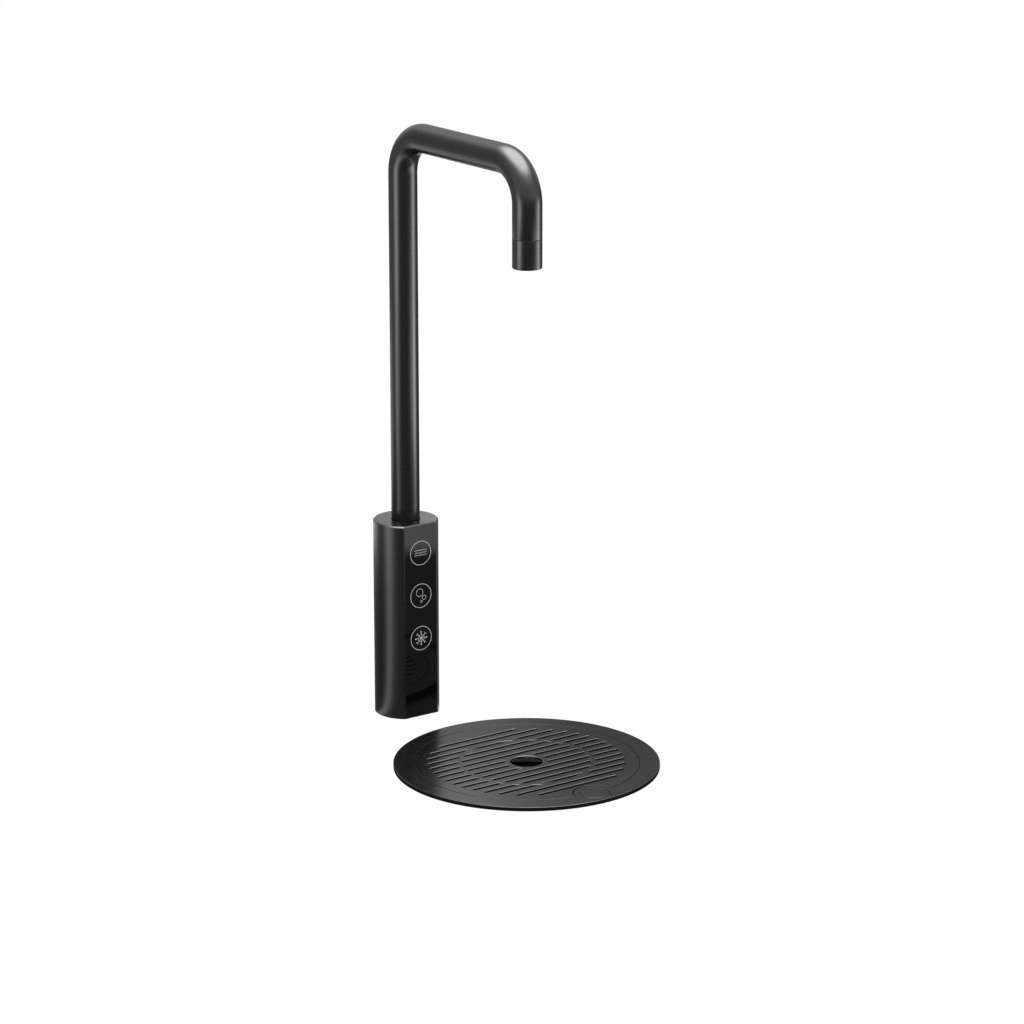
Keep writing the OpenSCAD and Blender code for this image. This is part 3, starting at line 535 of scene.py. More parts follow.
# Each bubble's place from the key's centre, across and up, its radius, and how many points draw it
BUBBLES = ((-0.0012, 0.0026, 0.0031, 48), (0.0029, -0.0018, 0.0017, 36), (0.0004, -0.0047, 0.0008, 24))
FLAKE_ARMS = 8
FLAKE_ARM = 0.0058
SLANTED_ARM = 0.95
DIAMOND_LENGTH = 0.0018
DIAMOND_HALF = 0.0006
ARROW = 0.0011
TWIG_FROM = 0.0022
TWIG_TO = 0.0031
TWIG_OUT = 0.0009


def flake_strokes():
    """The snowflake: every other arm ends in a diamond, the slanted ones in an arrow, and all have twigs."""
    middle = Vector((KEY_X, KEY_Z[2]))
    strokes = []
    for arm in range(FLAKE_ARMS):
        bearing = 2 * math.pi * arm / FLAKE_ARMS
        out = Vector((math.cos(bearing), math.sin(bearing)))
        across = Vector((-out.y, out.x))
        upright = arm % 2 == 0
        tip = middle + out * FLAKE_ARM * (1 if upright else SLANTED_ARM)
        strokes.append(ink_line(middle, tip))
        if upright:
            waist = tip - out * DIAMOND_LENGTH / 2
            foot = tip - out * DIAMOND_LENGTH
            strokes.append(([tip, waist + across * DIAMOND_HALF, foot, waist - across * DIAMOND_HALF], True))
        else:
            strokes.append(ink_line(tip + across * ARROW, tip - out * ARROW, tip - across * ARROW))
        fork = middle + out * TWIG_FROM
        ends = middle + out * TWIG_TO
        strokes.append(ink_line(ends + across * TWIG_OUT, fork, ends - across * TWIG_OUT))
    return strokes


ring_strokes = [ink_circle(KEY_X, z, KEY_RING_R) for z in KEY_Z]
sign_strokes = [ink_circle(KEY_X + x, KEY_Z[1] + z, radius, points) for x, z, radius, points in BUBBLES]
sign_strokes += [wave(KEY_Z[0] + WAVES_UP + k * WAVE_PITCH) for k in (-1, 0, 1)]
sign_strokes += flake_strokes()

ink_tree, ink_sizes = printed_line_tree(pale_ink())
for name, strokes, width in (("key_rings", ring_strokes, RING_INK), ("key_signs", sign_strokes, SIGN_INK)):
    marks = ink_strokes(strokes, name)
    built(marks, ink_tree, ink_sizes, {"Line Width": width, "Proud": INK_PROUD, "Glass Y": GLASS_LOW.y})
    face_outwards(marks)
    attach(marks, "root")


# ---- spout tube --------------------------------------------------------------------------------------
# A steel tube of 22 mm with two bends of 30 mm, polished round its axis and coated satin black. Its wall
# is 1.5 mm, and both ends are faced square with the sharp edge taken off.

TUBE_R = 0.011
TUBE_WALL = 0.0015
TUBE_FOOT_Z = 0.046
TUBE_END_Z = 0.402
LEVEL_Z = 0.456
REACH = 0.16
BEND_R = 0.03
TUBE_SIDES = 96
BEND_POINTS = 40
TUBE_EDGE = 0.00005
TUBE_EDGE_TINT = (0.72, 0.72, 0.72, 1)


def bent_tube_tree(material):
    """Geometry nodes that round the corners of a wire and carry a tube along it. The tube keeps where
    each point would lie on the straight tube before bending, for its polish marks."""
    tree, sizes, start = sized_tree("bent_tube", ("Tube Radius", "Bend Radius"), ("Bend Points", "Sides"))
    link = tree.links.new
    to_curve = new_node(tree, "GeometryNodeMeshToCurve")
    fillet = new_node(tree, "GeometryNodeFilletCurve", mode="POLY")
    along = new_node(tree, "GeometryNodeSplineParameter")
    keep_along = new_node(tree, "GeometryNodeCaptureAttribute")
    keep_along.capture_items.new("FLOAT", "along")
    profile = new_node(tree, "GeometryNodeCurvePrimitiveCircle")
    at_profile = new_node(tree, "GeometryNodeInputPosition")
    keep_round = new_node(tree, "GeometryNodeCaptureAttribute")
    keep_round.capture_items.new("VECTOR", "round")
    sweep = new_node(tree, "GeometryNodeCurveToMesh")
    split = new_node(tree, "ShaderNodeSeparateXYZ")
    join = new_node(tree, "ShaderNodeCombineXYZ")
    store = new_node(tree, "GeometryNodeStoreNamedAttribute", data_type="FLOAT_VECTOR", domain="POINT",
                     Name="unbent")
    link(start.outputs["Geometry"], to_curve.inputs["Mesh"])
    link(to_curve.outputs["Curve"], fillet.inputs["Curve"])
    link(start.outputs["Bend Radius"], fillet.inputs["Radius"])
    link(start.outputs["Bend Points"], fillet.inputs["Count"])
    link(fillet.outputs["Curve"], keep_along.inputs["Geometry"])
    link(along.outputs["Length"], keep_along.inputs["along"])
    link(start.outputs["Tube Radius"], profile.inputs["Radius"])
    link(start.outputs["Sides"], profile.inputs["Resolution"])
    link(profile.outputs["Curve"], keep_round.inputs["Geometry"])
    link(at_profile.outputs[0], keep_round.inputs["round"])
    link(keep_along.outputs["Geometry"], sweep.inputs["Curve"])
    link(keep_round.outputs["Geometry"], sweep.inputs["Profile Curve"])
    link(keep_round.outputs["round"], split.inputs[0])
    link(split.outputs["X"], join.inputs["X"])
    link(split.outputs["Y"], join.inputs["Y"])
    link(keep_along.outputs["along"], join.inputs["Z"])
    link(sweep.outputs["Mesh"], store.inputs["Geometry"])
    link(join.outputs[0], store.inputs["Value"])
    end_tree(tree, store.outputs["Geometry"], material)
    return tree, sizes


def walled(piece, thickness):
    """Gives an open tube its wall, inwards, and closes its ends."""
    wall = piece.modifiers.new("wall", "SOLIDIFY")
    wall.thickness = thickness
    wall.offset = -1
    wall.use_rim = True
    return applied(piece)


spout_route = [(0, 0, TUBE_FOOT_Z), (0, 0, LEVEL_Z), (0, -REACH, LEVEL_Z), (0, -REACH, TUBE_END_Z)]
spout = placed("spout", spout_route, [(i, i + 1) for i in range(len(spout_route) - 1)])
tube_tree, tube_sizes = bent_tube_tree(turned_black("turned_black_tube", TUBE_EDGE_TINT, "unbent"))
built(spout, tube_tree, tube_sizes, {"Tube Radius": TUBE_R, "Bend Radius": BEND_R, "Bend Points": BEND_POINTS,
                                     "Sides": TUBE_SIDES})
face_outwards(spout)
bevelled(walled(spout, TUBE_WALL), TUBE_EDGE, 2, 60)
face_outwards(spout)
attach(spout, "spout")
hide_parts("spout_tube")
dress(spout.data.materials[0], "spout_tube")


# ---- nozzle ------------------------------------------------------------------------------------------
# The turned sleeve that pulls off the tube's end. A fine groove shows where the two meet, with shade painted
# dark inside it; its mouth is rounded, and the outlets sit a millimetre up inside it, in a dark plastic disc.

SLEEVE_EDGE = 0.00002
SLEEVE_LINE = 0.0004
SLEEVE_LINE_DEEP = 0.00035
SLEEVE_FOOT = 0.0009
SLEEVE_MOUTH = 0.0005
SLEEVE_BORE = 0.0089
SLEEVE_Z = 0.38
SPIGOT_R = 0.00944
SPIGOT_TOP = 0.414
SHOULDER_Z = 0.396
PASSAGE_R = 0.00796
RING_GROOVE = (0.40755, 0.40845, 0.00854)
MOUTH_EASE = 0.3
FOOT_STEPS = 5
GROOVE_OVER = 1.05


def turned(name, profile, centre=(0, 0), sides=96):
    """A piece turned on the lathe: a closed profile of (radius, height) points about an upright axis."""
    loops = []
    for radius, z in profile:
        turns = [2 * math.pi * i / sides for i in range(sides)]
        loops.append([(centre[0] + radius * math.cos(a), centre[1] + radius * math.sin(a), z) for a in turns])
    return face_outwards(closed_loft(name, loops))


def painted_shade_black():
    """Painted shade: a near-black, dull material laid on the faces down in seams, grooves and gaps and low on
    cut sides, so that they look shaded.
    """
    material, tree, shader = plain_shader("painted_shade_black", (0.003, 0.003, 0.003), 0.7, specular=0.15)
    noise = new_node(tree, "ShaderNodeTexNoise", Scale=1600.0, Detail=3.0)
    tree.links.new(object_coordinates(tree), noise.inputs["Vector"])
    tone = mixed_tone(tree, noise.outputs["Fac"], (0.002, 0.002, 0.002), (0.006, 0.006, 0.006))
    tree.links.new(tone, shader.inputs["Base Color"])
    return material


def paint_shade_on(piece, material, is_shaded):
    """Gives this material to the faces for which the test holds; with the near-black seam material this
    paints shade on them.
    """
    piece.data.materials.append(material)
    for face in piece.data.polygons:
        if is_shaded(face.center, face.normal):
            face.material_index = len(piece.data.materials) - 1


# Painted shade: the faces down in the groove where sleeve and tube meet
def painted_shade_in_groove(centre, normal):
    low_enough = TUBE_END_Z - GROOVE_OVER * SLEEVE_LINE < centre.z <= TUBE_END_Z
    return low_enough and math.hypot(centre.x, centre.y + REACH) < TUBE_R - SLEEVE_EDGE


sleeve_profile = [
    (SLEEVE_BORE, SLEEVE_Z + SLEEVE_MOUTH),
    (SLEEVE_BORE + SLEEVE_MOUTH * MOUTH_EASE, SLEEVE_Z + SLEEVE_MOUTH * MOUTH_EASE),
    (SLEEVE_BORE + SLEEVE_MOUTH, SLEEVE_Z),
    *[(TUBE_R - SLEEVE_FOOT * (1 - math.sin(a)), SLEEVE_Z + SLEEVE_FOOT * (1 - math.cos(a)))
      for a in [math.pi / 2 * k / FOOT_STEPS for k in range(FOOT_STEPS + 1)]],
    (TUBE_R, TUBE_END_Z - SLEEVE_LINE - SLEEVE_EDGE),
    (TUBE_R - SLEEVE_EDGE, TUBE_END_Z - SLEEVE_LINE),
    (TUBE_R - SLEEVE_LINE_DEEP, TUBE_END_Z - SLEEVE_LINE),
    (TUBE_R - SLEEVE_LINE_DEEP, TUBE_END_Z),
    (SPIGOT_R, TUBE_END_Z),
    (SPIGOT_R, RING_GROOVE[0]), (RING_GROOVE[2], RING_GROOVE[0]),
    (RING_GROOVE[2], RING_GROOVE[1]), (SPIGOT_R, RING_GROOVE[1]),
    (SPIGOT_R, SPIGOT_TOP - SLEEVE_MOUTH), (SPIGOT_R - SLEEVE_MOUTH, SPIGOT_TOP),
    (PASSAGE_R, SPIGOT_TOP), (PASSAGE_R, SHOULDER_Z), (SLEEVE_BORE, SHOULDER_Z),
]
# Painted shade: the near-black material that darkens seams, grooves and low sides
painted_shade_coat = painted_shade_black()
nozzle = turned("nozzle", sleeve_profile, (0, -REACH))
nozzle.data.materials.append(turned_black("turned_black_nozzle", TUBE_EDGE_TINT))
# Painted shade in the groove between sleeve and tube
paint_shade_on(nozzle, painted_shade_coat, painted_shade_in_groove)
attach(nozzle, "nozzle")
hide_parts("nozzle_sleeve")
dress(nozzle.data.materials[0], "nozzle_sleeve")


# ---- grille ------------------------------------------------------------------------------------------
# The lift-out plate of 2 mm, cut with rows of round-ended slots that break at one ring and at the solid
# middle. Its face is brushed across and coated black, and every cut edge is softened.

TRAY_Y = -REACH
RIM_TOP = 0.003
PLATE_T = 0.002
SEAM_GAP = 0.0006
SLOT_PITCH = 0.0092
SLOT_W = 0.003
SLOT_ROWS = 7
SLOT_END_R = 0.073
LAND_IN = 0.04825
LAND_OUT = 0.05175
HUB_R = 0.0163
FINGER_R = 0.012
LOBE_R = 0.01535
SEAM_R = 0.085
SEAM_SOFT = 0.00014
SLOT_SOFT = 0.0007
FINGER_SOFT = 0.00095
EDGE_STEPS = 5
DOWN = (0, 0, -1)
CUT_POINTS = 12
LOBE_POINTS = 64
LOBE_EASE = 0.0009
SLOT_EASE = 0.00035


def arc(centre, radius, start, end, points):
    """Points on an arc between two angles, both ends included."""
    turns = [start + (end - start) * i / (points - 1) for i in range(points)]
    return [(centre[0] + radius * math.cos(a), centre[1] + radius * math.sin(a)) for a in turns]


def slot_outline(y, left, right):
    """One slot of row y. An end is ("round", x) or ("ring", radius, side), cut along that ring."""
    half = SLOT_W / 2

    def end(kind, side):
        if kind[0] == "round":
            start = -math.pi / 2 if side == 1 else math.pi / 2
            return arc((kind[1], y), half, start, start + math.pi, 2 * CUT_POINTS)
        heights = [y + side * half * (2 * i / (CUT_POINTS - 1) - 1) for i in range(CUT_POINTS)]
        return [(kind[2] * math.sqrt(kind[1] ** 2 - h ** 2), h) for h in heights]

    return eased(end(right, 1) + end(left, -1), SLOT_EASE)


def row_of_slots(y):
    """The slots of one row, from the left."""
    reach = math.sqrt(SLOT_END_R ** 2 - y ** 2)
    far = abs(y) + SLOT_W / 2
    if far > LAND_IN:
        return [slot_outline(y, ("round", -reach), ("round", reach))]
    slots = [slot_outline(y, ("round", -reach), ("ring", LAND_OUT, -1)),
             slot_outline(y, ("ring", LAND_OUT, 1), ("round", reach))]
    if far > HUB_R:
        slots.append(slot_outline(y, ("ring", LAND_IN, -1), ("ring", LAND_IN, 1)))
    else:
        slots.append(slot_outline(y, ("ring", LAND_IN, -1), ("ring", HUB_R, -1)))
        slots.append(slot_outline(y, ("ring", HUB_R, 1), ("ring", LAND_IN, 1)))
    return slots


def eased(outline, reach, degrees=25, steps=5):
    """The outline with a small curve in place of each sharp corner."""
    points = []
    for i, here in enumerate(outline):
        corner = Vector(here)
        back = Vector(outline[i - 1]) - corner
        ahead = Vector(outline[(i + 1) % len(outline)]) - corner
        if math.degrees(math.pi - back.angle(ahead)) < degrees:
            points.append(here)
            continue
        start = corner + back.normalized() * min(reach, back.length * 0.49)
        end = corner + ahead.normalized() * min(reach, ahead.length * 0.49)
        for k in range(steps + 1):
            t = k / steps
            points.append(tuple(start * (1 - t) ** 2 + corner * 2 * t * (1 - t) + end * t ** 2))
    return points


def round_outline(radius, points=256):
    return arc((0, 0), radius, 0, 2 * math.pi, points + 1)[:-1]


def lobed_outline(radius, lobe, points=256):
    """A circle that gives way to a smaller circle centred on its front."""
    tilt = math.asin(lobe / (2 * radius))
    start = -math.pi / 2 + 2 * tilt
    around = arc((0, 0), radius, start, start + 2 * (math.pi - 2 * tilt), points)
    inner = arc((0, -radius), lobe, math.pi - tilt, tilt, LOBE_POINTS)
    return eased(around + inner[1:-1], LOBE_EASE)


def shifted(outline, distance):
    """The closed outline moved sideways, to the right of its own direction."""
    moved = []
    for i, here in enumerate(outline):
        back = (Vector(here) - Vector(outline[i - 1])).normalized()
        ahead = (Vector(outline[(i + 1) % len(outline)]) - Vector(here)).normalized()
        middle = (back + ahead).normalized()
        reach = distance / max(middle.dot(ahead), 0.5)
        moved.append((here[0] + middle.y * reach, here[1] - middle.x * reach))
    return moved


def anticlockwise(outline):
    area = sum(a[0] * b[1] - b[0] * a[1] for a, b in zip(outline, outline[1:] + outline[:1]))
    return outline if area > 0 else outline[::-1]


def filled(outlines):
    """Triangles that fill the first outline less the others, as indices into all their points in turn."""
    return tessellate_polygon([[Vector((x, y, 0)) for x, y in outline] for outline in outlines])


def softened_plate(name, edges, low, high, centre=(0, TRAY_Y)):
    """A flat plate from its outer outline and its holes, each with the radii that round its upper and
    its lower edges."""
    points = []
    faces = []
    brims = []
    brim_points = []
    for number, (outline, soft, soft_below) in enumerate(edges):
        outline = anticlockwise(outline)
        count = len(outline)
        turns = [math.pi / 2 * k / EDGE_STEPS for k in range(EDGE_STEPS + 1)]
        section = [(soft_below * (1 - math.cos(a)), low + soft_below * (1 - math.sin(a)))
                   for a in turns[::-1]]
        section += [(soft * (1 - math.cos(a)), high - soft * (1 - math.sin(a))) for a in turns]
        first = len(points)
        for inset, z in section:
            ring = shifted(outline, inset if number else -inset)
            points += [(x + centre[0], y + centre[1], z) for x, y in ring]
        for a in range(first, first + count * (len(section) - 1), count):
            for i in range(count):
                j = (i + 1) % count
                faces.append((a + i, a + j, a + count + j, a + count + i))
        brims.append(ring)
        brim_points += [(len(points) - count + i, first + i) for i in range(count)]
    for corners in filled(brims):
        faces.append([brim_points[i][0] for i in corners])
        faces.append([brim_points[i][1] for i in corners[::-1]])
    return keep_flats(face_outwards(placed(name, points, faces=faces), 50), UP, DOWN)


BRUSH_STRETCH = (14, 700, 300)
BRUSH_GLOSS = (0.17, 0.27)
BRUSH_MM = 0.0002
BRUSHED_TONES = ((0.078, 0.078, 0.08), (0.098, 0.098, 0.1))


def brushed_black(name):
    """The same hard black coat over a face brushed along X."""
    material, tree, shader = plain_shader(name, BLACK_METAL, 0.22, metallic=1.0)
    fine_lines(tree, shader, object_coordinates(tree), BRUSH_STRETCH, BRUSH_GLOSS, BRUSH_MM, BRUSHED_TONES)
    return material


def from_tray(centre):
    """Distances from the tray's axis and from the axis of its lobe."""
    return math.hypot(centre.x, centre.y - TRAY_Y), math.hypot(centre.x, centre.y - TRAY_Y + SEAM_R)


def painted_shade_in_grille(centre, normal):
    """Where shade is painted on the grille: down in its seam, low on the slots' ends, all down the right
    ones.
    """
    out, from_lobe = from_tray(centre)
    deep = RIM_TOP - centre.z
    in_seam = out > SEAM_R - 1.5 * SEAM_GAP or from_lobe < LOBE_R + 1.5 * SEAM_GAP
    on_end = deep > SLOT_SOFT / 2 and abs(normal.x) > 0.4 and out > HUB_R
    on_right_end = normal.x < -0.3 and abs(out - SLOT_END_R) < SLOT_W / 2
    return deep > SEAM_SOFT / 2 and (in_seam or on_end or on_right_end)


slots = [slot for row in range(-SLOT_ROWS, SLOT_ROWS + 1) for slot in row_of_slots(row * SLOT_PITCH)]
grille_edges = [(lobed_outline(SEAM_R - SEAM_GAP, LOBE_R + SEAM_GAP), SEAM_SOFT, SEAM_SOFT),
                (round_outline(FINGER_R, 96), FINGER_SOFT, FINGER_SOFT)]
grille_edges += [(slot, SLOT_SOFT, SLOT_SOFT) for slot in slots]
grille = softened_plate("grille", grille_edges, RIM_TOP - PLATE_T, RIM_TOP)
grille.data.materials.append(brushed_black("brushed_black_grille"))
# Painted shade in the grille's seam and on its slots' ends
paint_shade_on(grille, painted_shade_coat, painted_shade_in_grille)
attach(grille, "grille")
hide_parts("grille_plate")
dress(grille.data.materials[0], "grille_plate")


# ---- tray rim ----------------------------------------------------------------------------------------
# The fixed ring that lies on the worktop, with a lobe at its front. A step below it centres the ring in
# the worktop's hole and carries the grille. It is brushed and coated like the grille, with shade painted
# into its seam and low on its side.

RIM_R = 0.1
RIM_SOFT = 0.00035
RIM_SOFT_BELOW = 0.0001
LEDGE_R = 0.0775
LEDGE_OUT = 0.086
LEDGE_LOW = -0.0005
LEDGE_TOP = 0.001
LOBE_LEDGE = 0.003
LEDGE_EDGE = 0.0002
SCREW_AT = 0.0804
SCREW_COUNT = 4
SCREW_R = 0.0016
SCREW_HEAD_R = 0.00275
DISC_R = 0.0107
DISC_T = 0.001
DISC_GAP = 0.0004
DISC_SOFT = 0.00022
WELL_EDGE = 0.00015
AXIS_R = 1e-6
DISC_AXIS_R = 1e-5


def fused(piece, other):
    return combined(piece, other, "UNION")


def well_profile(radius, low, high, edge):
    """The profile of a cutting tool for a round well whose mouth is softened."""
    return [(AXIS_R, low), (radius, low), (radius, high - edge), (radius + edge, high),
            (radius + edge, high + edge), (AXIS_R, high + edge)]


def painted_shade_on_rim(centre, normal):
    """Where shade is painted on the rim: down in its seam and low on its side."""
    out, _ = from_tray(centre)
    deep = RIM_TOP - centre.z
    in_seam = deep > SEAM_SOFT / 2 and out < RIM_R - 2 * RIM_SOFT
    on_side = deep > 0.6 * RIM_SOFT and out > RIM_R - RIM_SOFT
    return in_seam or on_side


rim = softened_plate("rim", [(round_outline(RIM_R, 360), RIM_SOFT, RIM_SOFT_BELOW),
                             (lobed_outline(SEAM_R, LOBE_R), SEAM_SOFT, SEAM_SOFT)], 0, RIM_TOP)
ledge_profile = [(LEDGE_R, LEDGE_LOW), (LEDGE_OUT, LEDGE_LOW), (LEDGE_OUT, LEDGE_TOP),
                 (LEDGE_R + LEDGE_EDGE, LEDGE_TOP), (LEDGE_R, LEDGE_TOP - LEDGE_EDGE)]
fused(rim, turned("ledge", ledge_profile, (0, TRAY_Y), 180))
lobe_ledge_r = LOBE_R + SEAM_GAP + LOBE_LEDGE
cross = math.acos((SEAM_R ** 2 + lobe_ledge_r ** 2 - LEDGE_OUT ** 2) / (2 * SEAM_R * lobe_ledge_r))
lobe_arc = arc((0, -SEAM_R), lobe_ledge_r, math.pi / 2 - cross, math.pi / 2 + cross, 48)
side_turn = math.atan2(lobe_arc[-1][1], lobe_arc[-1][0])
lobe_arc += arc((0, 0), LEDGE_OUT, side_turn, -math.pi - side_turn, 24)[1:-1]
fused(rim, softened_plate("lobe_ledge", [(lobe_arc, LEDGE_EDGE, LEDGE_EDGE)], LEDGE_LOW, LEDGE_TOP))
cut(rim, turned("disc_well", well_profile(DISC_R + DISC_GAP, RIM_TOP - DISC_T, RIM_TOP, WELL_EDGE),
                (0, TRAY_Y - SEAM_R), 72))
sink_profile = [(AXIS_R, LEDGE_LOW - CUT_OVER), (SCREW_R, LEDGE_LOW - CUT_OVER), (SCREW_R, LEDGE_LOW),
                (SCREW_HEAD_R, LEDGE_TOP), (SCREW_HEAD_R, LEDGE_TOP + CUT_OVER),
                (AXIS_R, LEDGE_TOP + CUT_OVER)]
for k in range(SCREW_COUNT):
    bearing = 2 * math.pi * (k + 0.5) / SCREW_COUNT
    cut(rim, turned("screw_sink", sink_profile,
                    (SCREW_AT * math.cos(bearing), TRAY_Y + SCREW_AT * math.sin(bearing)), 32))
keep_flats(face_outwards(rim, 50), UP, DOWN)
rim.data.materials.clear()
rim.data.materials.append(brushed_black("brushed_black_rim"))
# Painted shade in the rim's seam and low on its side
paint_shade_on(rim, painted_shade_coat, painted_shade_on_rim)
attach(rim, "root")
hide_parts("tray_rim")
dress(rim.data.materials[0], "tray_rim")

disc_profile = [(DISC_AXIS_R, RIM_TOP - DISC_T), (DISC_R, RIM_TOP - DISC_T)]
for k in range(EDGE_STEPS):
    turn = math.pi / 2 * k / (EDGE_STEPS - 1)
    disc_profile.append((DISC_R - DISC_SOFT * (1 - math.cos(turn)),
                         RIM_TOP - DISC_SOFT * (1 - math.sin(turn))))
disc_profile.append((DISC_AXIS_R, RIM_TOP))
lobe_disc = turned("lobe_disc", disc_profile, (0, TRAY_Y - SEAM_R), 96)
keep_flats(lobe_disc, UP)
lobe_disc.data.materials.append(brushed_black("brushed_black_disc"))
# Painted shade on the disc's side, down in its well
paint_shade_on(lobe_disc, painted_shade_coat, lambda centre, normal: centre.z < RIM_TOP - 0.7 * DISC_SOFT)
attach(lobe_disc, "root")
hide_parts("rim_disc")
dress(lobe_disc.data.materials[0], "rim_disc")


# ---- works behind the glass --------------------------------------------------------------------------
# A foam tape holds the glass. Behind it a green circuit board carries a copper pad and a small lamp for
# each key, the controller chip, and the plug of a thin grey wire that runs down to a socket below.


def worked(name, dark, pale, rough, metallic=0.0, grain=600.0, grain_mm=0.01, stretch=(1, 1, 1), thread=None):
    """A finish whose tone, gloss and surface wander a little, as cast, moulded, pressed and turned pieces
    do. thread is the (pitch, lowest, highest) of a thread cut along Z."""
    material, tree, shader = plain_shader(name, dark, rough[0], metallic)
    link = tree.links.new
    where = object_coordinates(tree)
    mapping = new_node(tree, "ShaderNodeMapping", Scale=stretch)
    noise = new_node(tree, "ShaderNodeTexNoise", Scale=grain, Detail=5.0, Roughness=0.6)
    link(where, mapping.inputs["Vector"])
    link(mapping.outputs["Vector"], noise.inputs["Vector"])
    share = ranged(tree, noise.outputs["Fac"], *NOISE_SPAN)
    link(mixed_tone(tree, share, dark, pale), shader.inputs["Base Color"])
    link(ranged(tree, share, 0, 1, *rough), shader.inputs["Roughness"])
    height = sums(tree, "MULTIPLY", noise.outputs["Fac"], grain_mm)
    if thread:
        pitch, lowest, highest = thread
        split = new_node(tree, "ShaderNodeSeparateXYZ")
        link(where, split.inputs[0])
        z = split.outputs["Z"]
        ridge = sums(tree, "MULTIPLY", sums(tree, "PINGPONG", z, pitch / 2), 1000.0)
        above = sums(tree, "GREATER_THAN", z, lowest)
        inside = sums(tree, "MULTIPLY", above, sums(tree, "LESS_THAN", z, highest))
        height = sums(tree, "MULTIPLY_ADD", ridge, inside, height)
    bump = new_node(tree, "ShaderNodeBump", Strength=1.0, Distance=0.001)
    link(height, bump.inputs["Height"])
    link(bump.outputs["Normal"], shader.inputs["Normal"])
    return material


dress(worked("foam_tape", (0.06, 0.06, 0.062), (0.11, 0.11, 0.115), (0.8, 0.95), grain=2500, grain_mm=0.05),
      "panel_adhesive")
dress(worked("green_mask", (0.006, 0.05, 0.022), (0.012, 0.085, 0.035), (0.22, 0.34), grain=900),
      "touch_board")
dress(worked("copper_foil", (0.72, 0.34, 0.19), (0.82, 0.44, 0.28), (0.25, 0.42), 1.0, grain=1500,
             grain_mm=0.004), "sensor_pads")
dress(worked("lamp_lens", (0.82, 0.82, 0.76), (0.9, 0.9, 0.86), (0.15, 0.25), grain=800, grain_mm=0.004),
      "key_lamps")
dress(worked("chip_resin", (0.012, 0.012, 0.013), (0.022, 0.022, 0.023), (0.5, 0.7), grain=5000),
      "controller_chip")
natural_plastic = worked("natural_plastic", (0.68, 0.67, 0.61), (0.77, 0.76, 0.71), (0.36, 0.5), grain=700,
                         grain_mm=0.012)
dress(natural_plastic, "board_connector")
dress(worked("wire_sheath", (0.15, 0.15, 0.155), (0.2, 0.2, 0.205), (0.45, 0.6), grain=1200, grain_mm=0.02),
      "signal_wire")
STEEL_TONES = ((0.45, 0.45, 0.45), (0.56, 0.56, 0.555))
bright_steel = worked("bright_steel", *STEEL_TONES, (0.22, 0.38), 1.0, grain=900, grain_mm=0.004)
dress(bright_steel, "signal_socket")


# ---- swivel ------------------------------------------------------------------------------------------
# The spout's brass foot turns in the brass stem on two O-rings, a plastic thrust washer and a plastic
# bush. A screw's tip in a part-turn groove sets its swing. The stem's lower end is threaded.

THREAD_PITCH = 0.0015
STEM_THREAD = (-0.06, -0.001)
BRASS_TONES = ((0.56, 0.41, 0.18), (0.66, 0.5, 0.25))
LATHE_STRETCH = (1, 1, 70)

brass = worked("turned_brass", *BRASS_TONES, (0.24, 0.38), 1.0, grain=30, grain_mm=0.004,
               stretch=LATHE_STRETCH)
dress(worked("threaded_brass", *BRASS_TONES, (0.24, 0.38), 1.0, grain=30, grain_mm=0.004,
             stretch=LATHE_STRETCH, thread=(THREAD_PITCH, *STEM_THREAD)), "font_stem")
dress(brass, "spout_foot")
rubber = worked("black_rubber", (0.016, 0.016, 0.016), (0.03, 0.03, 0.03), (0.65, 0.85), grain=2200,
                grain_mm=0.015)
dress(rubber, "foot_o_rings")
dress(natural_plastic, "thrust_washer", "upper_bush")
dress(bright_steel, "limit_screw")


# ---- worktop fixing ----------------------------------------------------------------------------------
# The steel base plate stands on the worktop with a rubber ring let into it, and two grub screws hold the
# shell to it. Below the worktop a rubber and a steel washer and a brass back nut clamp the stem.

rolled_steel = worked("rolled_steel", (0.4, 0.405, 0.41), (0.52, 0.525, 0.53), (0.3, 0.46), 1.0, grain=260)
dress(rolled_steel, "base_plate", "steel_washer")
dress(bright_steel, "body_grub_screws")
dress(rubber, "deck_gasket", "rubber_washer")
dress(brass, "back_nut")


# ---- water lines -------------------------------------------------------------------------------------
# Three white plastic lines of 6.35 mm run from the inlet block up through the stem and the spout. Each
# is pushed into the grey moulded block, which has an O-ring round its neck and three collets below.

dress(worked("white_tube", (0.74, 0.75, 0.74), (0.82, 0.83, 0.82), (0.28, 0.4), grain=400),
      "still_line_lower", "sparkling_line_lower", "chilled_line_lower",
      "still_line_upper", "sparkling_line_upper", "chilled_line_upper")
grey_moulding = worked("grey_moulding", (0.15, 0.155, 0.16), (0.2, 0.205, 0.21), (0.45, 0.6), grain=2600,
                       grain_mm=0.012)
dress(grey_moulding, "inlet_block")
dress(rubber, "inlet_block_seal")
dress(natural_plastic, "inlet_collets")


# ---- outlet ------------------------------------------------------------------------------------------
# A dark plastic disc holds the ends of the three lines inside the sleeve, and an O-ring in the sleeve's
# spigot seals it in the tube.

dress(worked("black_moulding", (0.01, 0.01, 0.01), (0.018, 0.018, 0.018), (0.4, 0.55), grain=2600),
      "outlet_disc")
dress(rubber, "nozzle_o_ring")


# ---- tray bowl and drain -----------------------------------------------------------------------------
# A drawn steel bowl, dark and dulled, hangs below the rim on four screws and drains through a threaded
# spigot, which a grey nut holds. A pierced strainer stands in it, and a rubber ring seals the rim.

DRAIN_THREAD = (-0.062, -0.034)

